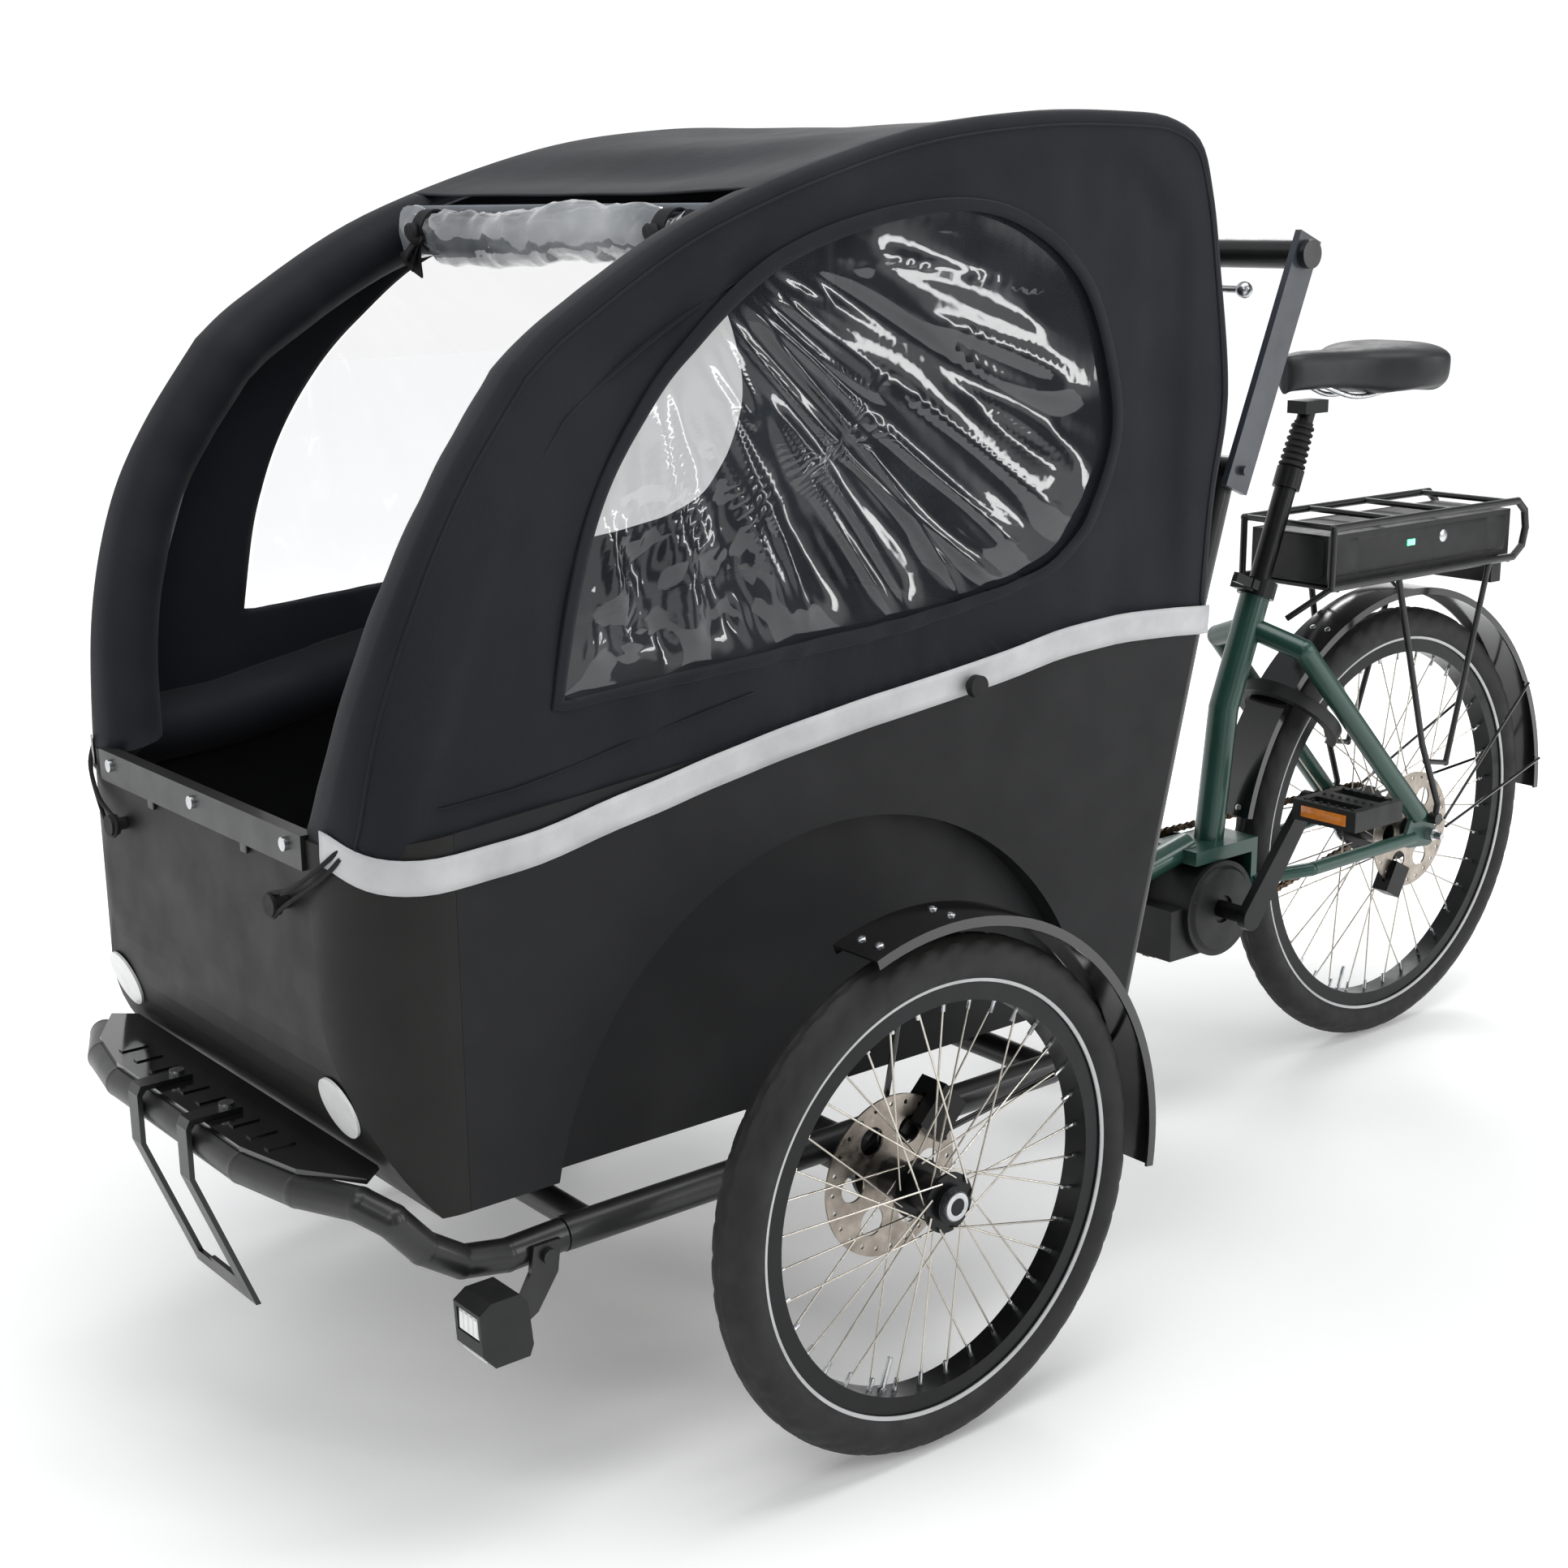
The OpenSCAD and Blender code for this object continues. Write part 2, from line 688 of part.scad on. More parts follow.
module hood_hoops() {
    side = [[hoop_foot[0], 246, 560], [hoop_foot[0], 246, 668], [337, hoop_y - 20, 1000],
            [roof_x + 12, hoop_y - 4, roof_z - 18], [-62, hoop_y, 1184], [-372, hoop_y, 1209],
            [-474, hoop_y, 1120], [-474, hoop_y, 745]];
    color("#3b4148") {
        both_sides() bent_rod(side, hoop_r, $fn = 32);
        y_bar(roof_x + 12, roof_z - 18, -hoop_y + 4, hoop_y - 4, hoop_r - 1, $fn = 32);
        y_bar(-62, 1184, -hoop_y, hoop_y, hoop_r - 1, $fn = 32);
        y_bar(-372, 1209, -hoop_y, hoop_y, hoop_r - 1, $fn = 32);
    }
}

// plan of the hood as an upright block, inset by i; its front corners follow the box's
module hood_plan(i) {
    half = hood_w / 2;
    round_r = corner_r + half - half_w;
    translate([0, 0, 500]) linear_extrude(height = 800) {
        translate([-600, -half + i]) square([600 + box_front - corner_r, hood_w - 2 * i]);
        translate([-600, -half + round_r]) square([600 + box_front + half - half_w - i, hood_w - 2 * round_r]);
        for (s = [-1, 1]) translate([box_front - corner_r, s * (half - round_r)])
            circle(r = round_r - i, $fn = 72);
    }
}

module hood_cover() {
    half = hood_w / 2;
    front_cut = [[roof_x, 560], [700, 560], [700, 1250], [roof_x, 1250]];
    below = [[508, 400], [508, 650], [470, 700], [-450, 760], [-495, 730], [-495, 400]];
    color("#2b2d33") difference() {
        intersection() {
            side_prism(hood_outline, -half, half);
            hood_plan(0);
        }
        intersection() {
            translate([0, half, 0]) rotate([90, 0, 0])
                linear_extrude(height = 2 * half) offset(delta = -cloth_t) polygon(hood_outline);
            hood_plan(cloth_t);
        }
        intersection() {
            side_prism(below, -half, half);
            hood_plan(cloth_t);
        }
        side_prism(front_cut, -half + hood_band_w, half - hood_band_w);
        side_prism(window_outline, -half - 1, half + 1);
    }
}

roll_r = 27;
roll_at = [roof_x + 36, roof_z - 46];
module hood_windows() {
    pane_t = 1.2;
    outer = hood_w / 2 - 0.5;
    color([0.8, 0.85, 0.9, 0.35]) {
        both_sides() translate([0, outer, 0]) rotate([90, 0, 0])
            linear_extrude(height = pane_t) offset(delta = -fit) polygon(window_outline);
        y_bar(roll_at[0], roll_at[1], -hood_w / 2 + hood_band_w + 8, hood_w / 2 - hood_band_w - 8, roll_r);
    }
}

// ---------- running gear at the front ----------

module stub_axles() {
    color("#8f9296") both_sides() difference() {
        y_bar(0, front_r, side_tube_y - 5, half_track + hub_cap_out - 10, axle_r);
        y_bar(0, front_r, half_track + hub_cap_out - 14, half_track + hub_cap_out, 4);
    }
}

caliper_angle = 135;
module caliper_body(y_mid) {
    difference() {
        union() {
            translate([52, y_mid - 17, -19]) cube([46, 34, 38]);
            translate([40, y_mid - 17, -13]) cube([14, 10, 26]);
        }
        translate([40, y_mid - rotor_t / 2 - 1, -30]) cube([rotor_r + 2 - 40, rotor_t + 2, 60]);
    }
}

module front_calipers() {
    rotor_y = half_track - rotor_in;
    color("#26272a") both_sides() translate([0, 0, front_r]) {
        rotate([0, -caliper_angle, 0]) caliper_body(rotor_y);
        difference() {
            hull() {
                y_bar(0, 0, boss_face_y + fit, boss_face_y + 7, 22);
                rotate([0, -caliper_angle, 0]) y_bar(60, 0, boss_face_y + fit, boss_face_y + 7, 16);
            }
            y_bar(0, 0, boss_face_y - 1, boss_face_y + 9, axle_r + 0.5);
        }
    }
}

// arc of mudguard about the axle, from angle a0 to a1, measured from forwards over the top
module guard_arc(r, a0, a1) {
    rotate([90, 0, 0]) rotate([0, 0, a0]) rotate_extrude(angle = a1 - a0, $fn = 96) {
        translate([r, -guard_half_w]) square([guard_t, 2 * guard_half_w]);
        for (s = [-1, 1]) translate([r - 7, s * (guard_half_w - guard_t / 2) - guard_t / 2])
            square([7 + guard_t, guard_t]);
    }
}

module front_mudguards() {
    stay_y = boss_face_y + 11;
    color("#0e0f10") both_sides() {
        translate([0, half_track, front_r]) guard_arc(front_guard_r, 70, 188);
        for (a = [92, 165]) translate([0, 0, front_r])
            bent_rod([[26 * cos(a), stay_y, 26 * sin(a)],
                      [(front_guard_r - 20) * cos(a), half_track - guard_half_w - 6, (front_guard_r - 20) * sin(a)],
                      [(front_guard_r - 3) * cos(a), half_track - guard_half_w - 3.6, (front_guard_r - 3) * sin(a)]],
                     3, $fn = 24);
        translate([0, 0, front_r]) difference() {
            y_bar(0, 0, stay_y - 3.5, stay_y + 2, 30);
            y_bar(0, 0, stay_y - 5, stay_y + 5, axle_r + 0.5);
        }
    }
}

lamp_at = [408, side_tube_y + 24, 205];
module headlight_bracket() {
    t = 5;
    y0 = side_tube_y + bumper_r + 0.5;
    color("#17181a") difference() {
        side_prism([[336, 270], [364, 270], [368, 246], [384, 218], [420, 216], [424, 196],
                    [392, 192], [362, 208], [340, 240]], y0, y0 + t);
        y_bar(lamp_at[0], lamp_at[2], y0 - 1, y0 + t + 1, 4 + slide_gap);
    }
    color("#c4c6c8") y_bar(350, 258, y0 + t + 0.1, y0 + t + 5, 7);
}

module headlight() {
    y0 = side_tube_y + bumper_r + 0.5 + 5 + fit;
    color("#131416") {
        difference() {
            side_prism([[398, 196], [394, 206], [398, 246], [406, 256], [434, 256], [446, 248],
                        [444, 210], [432, 196]], y0, y0 + 42);
            side_prism([[442.5, 222], [460, 222], [460, 244], [443.5, 244]], y0 + 4, y0 + 38);
        }
        y_bar(lamp_at[0], lamp_at[2], y0 - fit - 5 - 4, y0 + 1, 4);
    }
}

// ---------- handlebar ----------

module handlebar_arms() {
    color("#51565f") both_sides() difference() {
        translate([arm_pivot[0], arm_spacing / 2, arm_pivot_z]) rotate([0, -arm_lean, 0])
            translate([-arm_w / 2, -arm_t / 2, -22]) cube([arm_w, arm_t, arm_l + 42]);
        y_bar(bar_at[0], bar_at[2], 0, arm_spacing, 12.5 + slide_gap);
        y_bar(arm_pivot[0], arm_pivot_z, 0, arm_spacing, 5 + slide_gap);
    }
    color("#c4c6c8") both_sides() y_bar(arm_pivot[0], arm_pivot_z, post_y - 28,
                                        arm_spacing / 2 + arm_t / 2 + 6, 5);
}

module handlebar_tube() {
    inner = arm_spacing / 2 - arm_t / 2 - fit;
    color("#151618") {
        y_bar(bar_at[0], bar_at[2], -inner, inner, bar_d / 2);
        both_sides() {
            y_bar(bar_at[0], bar_at[2], inner - eps, inner + arm_t + 3, 12.5);
            y_bar(bar_at[0], bar_at[2], inner + 2 * fit + arm_t + fit, inner + arm_t + 9, 15);
        }
    }
}

module lever_clamps() {
    color("#1b1c1e") both_sides() difference() {
        union() {
            y_bar(bar_at[0], bar_at[2], lever_y - 34, lever_y - 14, bar_d / 2 + 5);
            translate([bar_at[0] - 2, lever_y - 34, bar_at[2] - 46]) cube([26, 20, 30]);
        }
        y_bar(bar_at[0], bar_at[2], lever_y - 40, lever_y - 5, bar_d / 2 + fit);
        rod([lever_at[0], lever_y - 24, lever_at[2] - 30], [lever_at[0], lever_y - 24, lever_at[2] + 4],
            4 + slide_gap);
        translate([lever_at[0] - 13, lever_y - 29, lever_at[2] - 8]) cube([30, 20, 10]);
    }
}

// blade that reaches outwards along the bar and ends in a ball
module lever_blade() {
    hinge = [lever_at[0], lever_y - 24, lever_at[2]];
    color("#b8bbbf") {
        translate(hinge - [0, 0, 7]) cylinder(r = 4, h = 6 + 2);
        difference() {
            hull() {
                translate(hinge - [0, 0, 6.5]) cylinder(r = 4.5, h = 7);
                translate(hinge + [12, 40, -6.5]) cylinder(r = 4.5, h = 7);
            }
            translate(hinge - [0, 0, 20]) cylinder(r = 1, h = 5);
        }
        rod(hinge + [12, 40, -3], hinge + [23, 119, -3], 4, $fn = 24);
        translate(hinge + [24, 124, -3]) sphere(r = 9);
    }
}

module gear_shifter() {
    color("#202225") difference() {
        y_bar(bar_at[0], bar_at[2], -lever_y - 70, -lever_y - 14, bar_d / 2 + 6);
        y_bar(bar_at[0], bar_at[2], -lever_y - 75, -lever_y, bar_d / 2 + slide_gap);
    }
}

// ---------- rear frame ----------

module dropout_plate(side) {
    y = side * dropout_y;
    hull() {
        y_bar(rear_x, rear_r, y - 3, y + 3, 17);
        y_bar(rear_x + 40, rear_r - 2, y - 3, y + 3, 11);
        y_bar(rear_x + 22, rear_r + 36, y - 3, y + 3, 11);
    }
}

module rear_frame() {
    pivot = [-pivot_back, 0, chassis_z];
    yoke_x = -pivot_back - 46;
    bracket_x = bb[0] - motor_r - 12;
    color("#2f5a4d") difference() {
        union() {
            rod(seat_top, seat_knee, seat_tube_d / 2);
            translate(seat_knee) sphere(r = seat_tube_d / 2 + 0.1);
            rod(seat_knee, seat_foot, seat_tube_d / 2);
            // bracket over and behind the motor, and the main beam
            translate([bracket_x, -38, bb_z + motor_r + fit]) cube([118, 76, 18]);
            translate([bracket_x, -38, bb_z + 4]) cube([11, 76, motor_r + fit + 10]);
            bent_rod([[bb[0] + 20, 0, bb_z + motor_r + 16], [bb[0] + 105, 0, bb_z + motor_r - 2],
                      [bb[0] + 165, 0, chassis_z + 2], [yoke_x, 0, chassis_z + 2]], 17);
            // yoke and steerer pin
            translate([yoke_x - 6, -14, chassis_z - head_half - fit - lug_t])
                cube([12, 28, 2 * (head_half + fit + lug_t)]);
            for (z = [chassis_z + head_half + fit, chassis_z - head_half - fit - lug_t]) {
                translate([-pivot_back, 0, z]) cylinder(r = lug_r, h = lug_t);
                translate([yoke_x - 6, -14, z]) cube([50, 28, lug_t]);
            }
            translate([-pivot_back, 0, chassis_z - head_half - fit - lug_t])
                cylinder(r = steerer_r, h = 2 * (head_half + fit + lug_t));
            // stays
            both_sides() {
                bent_rod([[bracket_x + 5, 36, bb_z + 20], [bracket_x - 20, 37, bb_z + 22],
                          [bracket_x - 76, chainstay_y, bb_z + 28], [rear_x + 30, dropout_y, rear_r - 1]],
                         stay_r);
                bent_rod([along(seat_top, -post_dir, 60) + [-6, 6, 0], along(seat_top, -post_dir, 78) + [-36, dropout_y - 4, -6],
                          [rear_x + 24, dropout_y, rear_r + 30]], seatstay_r);
            }
            for (s = [-1, 1]) dropout_plate(s);
        }
        rod(along(seat_top, post_dir, 5), along(seat_knee, post_dir, 2), seatpost_r + slide_gap);
        for (s = [-1, 1]) y_bar(rear_x, rear_r, s * dropout_y - 8, s * dropout_y + 8, 5 + slide_gap);
    }
}

module motor_case() {
    color("#17181a") difference() {
        union() {
            y_bar(bb[0], bb_z, -motor_half_w, motor_half_w, motor_r);
            translate([bb[0], -motor_half_w + 8, bb_z - motor_r + 6]) cube([84, 2 * motor_half_w - 16, 66]);
        }
        y_bar(bb[0], bb_z, -motor_half_w - 5, motor_half_w + 5, spindle_r + spindle_gap);
    }
}

module chainring() {
    end = crank_y + crank_t / 2;
    color("#6d7075") {
        y_bar(bb[0], bb_z, -end, end, spindle_r);
        difference() {
            y_bar(bb[0], bb_z, chain_y - 2, chain_y + 2, chainring_r);
            for (i = [0 : 4]) rotate_about(bb, i * 72) y_bar(bb[0] + 48, bb_z, chain_y - 4, chain_y + 4, 16);
            y_bar(bb[0], bb_z, chain_y - 3, chain_y + 3, spindle_r - 1);
        }
    }
}

module rotate_about(p, a) {
    translate(p) rotate([0, -a, 0]) translate(-p) children();
}

module crank_arm(a, side) {
    color("#1a1b1d") rotate_about(bb, a) difference() {
        hull() {
            y_bar(bb[0], bb_z, side * crank_y - crank_t / 2, side * crank_y + crank_t / 2, 17);
            y_bar(bb[0] + crank_l, bb_z, side * crank_y - crank_t / 2, side * crank_y + crank_t / 2, 12);
        }
        y_bar(bb[0], bb_z, side * crank_y - 20, side * crank_y + 20, spindle_r + spindle_gap);
        y_bar(bb[0] + crank_l, bb_z, side * crank_y - 20, side * crank_y + 20, 6 + spindle_gap);
    }
}

module crank_arms() {
    crank_arm(crank_angle, 1);
    crank_arm(crank_angle + 180, -1);
}

module pedal(a, side) {
    p = bb + crank_l * [cos(a), 0, sin(a)];
    inner = crank_y + crank_t / 2;
    y0 = inner + pedal_gap;
    color("#1c1d1f") {
        y_bar(p[0], p[2], side * (inner - crank_t), side * (y0 + 2), 6);
        difference() {
            translate([p[0] - pedal_w / 2, side > 0 ? y0 : -y0 - pedal_l, p[2] - pedal_h / 2])
                cube([pedal_w, pedal_l, pedal_h]);
            for (s = [-1, 1]) translate([p[0] + s * 27 - 11, side > 0 ? y0 + 12 : -y0 - pedal_l + 12, p[2] - 20])
                cube([22, pedal_l - 24, 40]);
        }
    }
}

// chain as one closed band round both toothed wheels
module chain() {
    color("#7b6a5a") translate([0, chain_y + chain_w / 2, 0]) rotate([90, 0, 0])
        linear_extrude(height = chain_w) difference() {
            hull() {
                translate([bb[0], bb_z]) circle(r = chainring_r + fit + chain_t, $fn = 64);
                translate([rear_x, rear_r]) circle(r = sprocket_r + fit + chain_t, $fn = 64);
            }
            hull() {
                translate([bb[0], bb_z]) circle(r = chainring_r + fit, $fn = 64);
                translate([rear_x, rear_r]) circle(r = sprocket_r + fit, $fn = 64);
            }
        }
}

hub_r = 30;
rear_flange_r = 46;
rear_flange_y = 30;
driver_y = -rear_flange_y - 8;
module rear_hub() {
    color("#1e1f22") translate([rear_x, 0, rear_r]) {
        difference() {
            union() {
                y_bar(0, 0, -rear_flange_y - 6, rear_flange_y + 16, hub_r);
                for (s = [-1, 1]) y_bar(0, 0, s * rear_flange_y - flange_t / 2,
                                        s * rear_flange_y + flange_t / 2, rear_flange_r);
            }
            y_bar(0, 0, -80, 80, 8 + axle_bore_gap);
        }
        translate([0, rear_flange_y + 16 + rotor_t / 2 + fit, 0]) rotor_disc(20);
        difference() {
            y_bar(0, 0, rear_flange_y + 16 - eps, rear_flange_y + 16 + 6, 19.5);
            y_bar(0, 0, -80, 80, 8 + axle_bore_gap);
        }
    }
}

module rear_sprocket() {
    color("#777a7f") translate([rear_x, 0, rear_r]) difference() {
        union() {
            y_bar(0, 0, chain_y - 2, chain_y + 2, sprocket_r);
            y_bar(0, 0, chain_y - 6, driver_y, 19);
        }
        y_bar(0, 0, -80, 0, 8 + axle_bore_gap);
        for (i = [0 : 5]) rotate([0, i * 60, 0]) y_bar(29, 0, chain_y - 4, chain_y + 4, 5, $fn = 24);
    }
}

module rear_axle() {
    nut_y = dropout_y + 3 + fit;
    color("#b4b7bb") translate([rear_x, 0, rear_r]) {
        y_bar(0, 0, -dropout_y + 3 + fit, dropout_y - 3 - fit, 8);
        y_bar(0, 0, -axle_end_y, axle_end_y, 5);
        both_sides() difference() {
            translate([0, nut_y, 0]) rotate([-90, 0, 0]) cylinder(r = 9, h = 10, $fn = 6);
            y_bar(0, 0, nut_y - 1, nut_y + 12, 5 - eps);
        }
    }
}

module rear_caliper() {
    rotor_y = rear_flange_y + 16 + rotor_t / 2 + fit;
    color("#26272a") translate([rear_x, 0, rear_r]) rotate([0, 62, 0]) difference() {
        translate([50, rotor_y - 14, -16]) cube([44, 24, 32]);
        translate([40, rotor_y - rotor_t / 2 - 1, -30]) cube([rotor_r + 2 - 40, rotor_t + 2, 60]);
    }
}

module rear_mudguard() {
    color("#0e0f10") translate([rear_x, 0, rear_r]) {
        guard_arc(rear_guard_r, 12, 180);
        both_sides() for (a = [150, 172]) {
            rod([-34 * cos(180 - a), dropout_y + 4 + 3.4, 34 * sin(180 - a)],
                [(rear_guard_r - 2) * cos(a), guard_half_w + 4, (rear_guard_r - 2) * sin(a)], 2, $fn = 16);
        }
    }
}

module rack() {
    low_z = rack_floor_z - 2;
    leg_foot = [rear_x - 8, dropout_y + 9.5, rear_r + 42];
    loop = [[rack_front_x, rail_y, rack_z], [rack_rear_x + 22, rail_y, rack_z],
            [rack_rear_x + 5, rail_y, rack_z - 14], [rack_rear_x, rail_y, rack_z - 38],
            [rack_rear_x + 6, rail_y, low_z + 14], [rack_rear_x + 26, rail_y, low_z],
            [rack_front_x, rail_y, low_z]];
    color("#141517") {
        both_sides() {
            bent_rod(loop, rail_r, $fn = 24);
            translate(loop[0]) sphere(r = 1.02 * rail_r, $fn = 24);
            translate(loop[6]) sphere(r = 1.02 * rail_r, $fn = 24);
            rod(loop[0], loop[6], rail_r - 0.6, $fn = 24);
            bent_rod([[rear_x + 92, rail_y, low_z], [rear_x + 30, rail_y + 8, rear_r + 130],
                      leg_foot, [rear_x - 4, dropout_y + 9.5, rear_r + 20]], 4.3, $fn = 24);
            rod([rear_x - 108, rail_y, low_z], [rear_x - 24, rail_y + 9, rear_r + 96], 4, $fn = 24);
            rod([rear_x - 24, rail_y + 9, rear_r + 96], [rear_x + 22, rail_y + 8, rear_r + 105], 3.6, $fn = 24);
            translate([rear_x - 24, rail_y + 9, rear_r + 96]) sphere(r = 4.6, $fn = 24);
            y_bar(rear_x - 4, rear_r + 22, dropout_y + 3 + fit, dropout_y + 16, 8);
            rod([rack_front_x, rail_y, low_z], [seat_top[0] - 26, 26, seat_top_z - 46], 4, $fn = 24);
        }
        for (x = [rack_front_x - 3, rear_x + 100, rear_x - 20, rack_rear_x + 40])
            y_bar(x, rack_z, -rail_y, rail_y, rail_r - 1, $fn = 24);
        for (x = [rack_front_x - 14, rack_rear_x + 34])
            y_bar(x, low_z - 3, -rail_y, rail_y, rail_r - 1.4, $fn = 24);
        translate([rear_x - 130, -52, rack_floor_z - 7]) cube([battery_l - 60, 104, 5.5]);
        y_bar(rear_x - 40, rack_floor_z - 4, -rail_y, rail_y, 3, $fn = 24);
        y_bar(rear_x + 80, rack_floor_z - 4, -rail_y, rail_y, 3, $fn = 24);
    }
}

module battery() {
    z0 = rack_floor_z + 0.5;
    x0 = battery_front_x - battery_l;
    color("#17181b") {
        translate([x0, -battery_w / 2, z0]) cube([battery_l, battery_w, battery_h]);
        translate([x0 + 40, -40, z0 - 1.2]) cube([battery_l - 90, 80, 1.2 + eps]);
    }
}

module rear_light() {
    color("#1a1b1d") translate([rack_rear_x + 12, -46, rack_floor_z - 40]) cube([22, 92, 28]);
    color("#1a1b1d") translate([rack_rear_x + 20, -20, rack_floor_z - 12 - eps]) cube([16, 40, 2.4]);
}

module ring_place() {
    translate([rear_x + lock_r * cos(180 - lock_angle), 0, rear_r + lock_r * sin(180 - lock_angle)])
        rotate([0, -(180 - lock_angle), 0]) children();
}

// horseshoe ring round the tyre; its plane holds the wheel's radius and Y
module ring_lock() {
    color("#0f1011") ring_place() rotate([90, 0, 0]) rotate([0, 0, 0]) ring_case();
}

module ring_case() {
    half = lock_t / 2;
    rotate([-90, 0, 0]) rotate([0, 0, 180 + lock_gap]) difference() {
        rotate_extrude(angle = 360 - 2 * lock_gap, $fn = 96)
            translate([lock_in_r, -half]) square([lock_out_r - lock_in_r, lock_t]);
        translate([0, 0, -bolt_t / 2 - 0.5]) rotate([0, 0, -5]) rotate_extrude(angle = 380 - 2 * lock_gap, $fn = 96)
            translate([bolt_in_r - 0.5, 0]) square([bolt_out_r - bolt_in_r + 1, bolt_t + 1]);
    }
}

module lock_bolt() {
    color("#b4b7bb") ring_place() rotate([0, 0, 180 + lock_gap + 1])
        translate([0, 0, -bolt_t / 2]) rotate_extrude(angle = 100, $fn = 96)
            translate([bolt_in_r, 0]) square([bolt_out_r - bolt_in_r, bolt_t]);
}

// ---------- seat ----------

module seat_clamp() {
    color("#2b2d30") difference() {
        rod(along(seat_top, post_dir, -18), along(seat_top, post_dir, 3), seat_tube_d / 2 + 5);
        rod(along(seat_top, post_dir, -19), along(seat_top, post_dir, 0.3), seat_tube_d / 2 + fit);
        rod(along(seat_top, post_dir, -20), along(seat_top, post_dir, 5), seatpost_r + fit);
    }
    color("#2b2d30") translate(along(seat_top, post_dir, -8)) rotate([0, -post_lean, 0]) difference() {
        translate([seat_tube_d / 2 + 4.2, -13, -8]) cube([14, 26, 15]);
        translate([seat_tube_d / 2 + 12, 20, 0]) rotate([90, 0, 0]) cylinder(r = 3 + slide_gap, h = 50);
    }
}

module seat_lever() {
    color("#202225") translate(along(seat_top, post_dir, -8)) rotate([0, -post_lean, 0]) {
        translate([seat_tube_d / 2 + 12, 14, 0]) rotate([90, 0, 0]) cylinder(r = 3, h = 30);
        translate([seat_tube_d / 2 + 6, 13.4, -6]) cube([12, 9, 12]);
        translate([seat_tube_d / 2 + 16, 14, -6]) cube([34, 7, 12]);
    }
}

module seatpost() {
    color("#3a3d42") difference() {
        union() {
            rod(along(seat_top, post_dir, -post_insert), along(seat_top, post_dir, collar_at), seatpost_r);
            rod(along(seat_top, post_dir, collar_at - collar_h), along(seat_top, post_dir, collar_at), seatpost_r + 4);
        }
        rod(along(seat_top, post_dir, collar_at - head_insert - 60), along(seat_top, post_dir, collar_at + 5),
            head_r + slide_gap);
    }
}

module seatpost_head() {
    top = along(seat_top, post_dir, head_top_at);
    color("#17181a") {
        rod(along(seat_top, post_dir, collar_at - head_insert), top, head_r);
        translate(top) rotate([0, -post_lean, 0]) translate([-22, -15, -4]) rotate([0, post_lean, 0]) cube([44, 30, 16]);
    }
}

module saddle() {
    nose_x = saddle_rear_x + saddle_l;
    z = saddle_top_z;
    color("#3b3d40") hull() {
        translate([nose_x - 22, 0, z - 30]) scale_disc(22, 22);
        translate([nose_x - 120, 0, z - 34]) scale_disc(36, 26);
        for (s = [-1, 1]) translate([saddle_rear_x + 52, s * (saddle_w / 2 - 50), z - 29]) scale_disc(50, 28);
    }
}

module scale_disc(r, h) {
    rotate_extrude($fn = 32) intersection() {
        scale([r, h]) circle(r = 1, $fn = 32);
        translate([0, -h]) square([r, 2 * h]);
    }
}

// ---------- assembly ----------

placed() chassis();
placed() bumper();
placed() step_plate();
placed() step_loop();
placed() box_floor();
placed() box_front_panel();
placed() box_side_panels();
placed() box_rear_panel();
placed() rim_rails();
placed() bench();
placed() cushions();
placed() hood_hoops();
placed() hood_cover();
placed() hood_windows();
placed() front_reflectors();
placed() box_fasteners();
placed() stub_axles();
placed() front_calipers();
placed() front_mudguards();
placed() headlight_bracket();
placed() headlight();
placed() handlebar_arms();
placed() handlebar_tube();
placed() lever_clamps();
placed() lever_blade();  // brake_lever_left
placed() mirror([0, 1, 0]) lever_blade();  // brake_lever_right
placed() gear_shifter();
placed() front_wheel_place(1) color("#1a1a1b") tyre_ring(front_r);  // left_tyre
placed() front_wheel_place(1) color("#17181a") rim_ring(front_r);  // left_rim
placed() front_wheel_place(1) color("#b9bcc0")  // left_spokes
    spoke_set(front_r, flange_r - 4, flange_out, -flange_in, 3);
placed() front_wheel_place(1) color("#1e1f22") front_hub();  // left_hub
placed() front_wheel_place(-1) color("#1a1a1b") tyre_ring(front_r);  // right_tyre
placed() front_wheel_place(-1) color("#17181a") rim_ring(front_r);  // right_rim
placed() front_wheel_place(-1) color("#b9bcc0")  // right_spokes
    spoke_set(front_r, flange_r - 4, flange_out, -flange_in, 3);
placed() front_wheel_place(-1) color("#1e1f22") front_hub();  // right_hub
placed() rear_frame();
placed() motor_case();
placed() rear_mudguard();
placed() rack();
placed() rear_light();
placed() ring_lock();
placed() rear_caliper();
placed() rear_axle();
placed() seat_clamp();
placed() chain();
placed() translate([rear_x, 0, rear_r]) color("#1a1a1b") tyre_ring(rear_r);  // rear_tyre
placed() translate([rear_x, 0, rear_r]) color("#17181a") rim_ring(rear_r);  // rear_rim
placed() translate([rear_x, 0, rear_r]) color("#b9bcc0")  // rear_spokes
    spoke_set(rear_r, rear_flange_r - 5, rear_flange_y, -rear_flange_y, 2);
placed() rear_hub();
placed() rear_sprocket();
placed() chainring();
placed() crank_arms();
placed() pedal(crank_angle, 1);  // left_pedal
placed() pedal(crank_angle + 180, -1);  // right_pedal
placed() battery();
placed() seat_lever();
placed() seatpost();
placed() seatpost_head();
placed() saddle();
placed() lock_bolt();
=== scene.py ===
from math import acos, atan2, copysign, cos, degrees, exp, hypot, pi, radians, sin, sqrt

import bmesh
import bpy
from mathutils import Matrix, Vector, noise


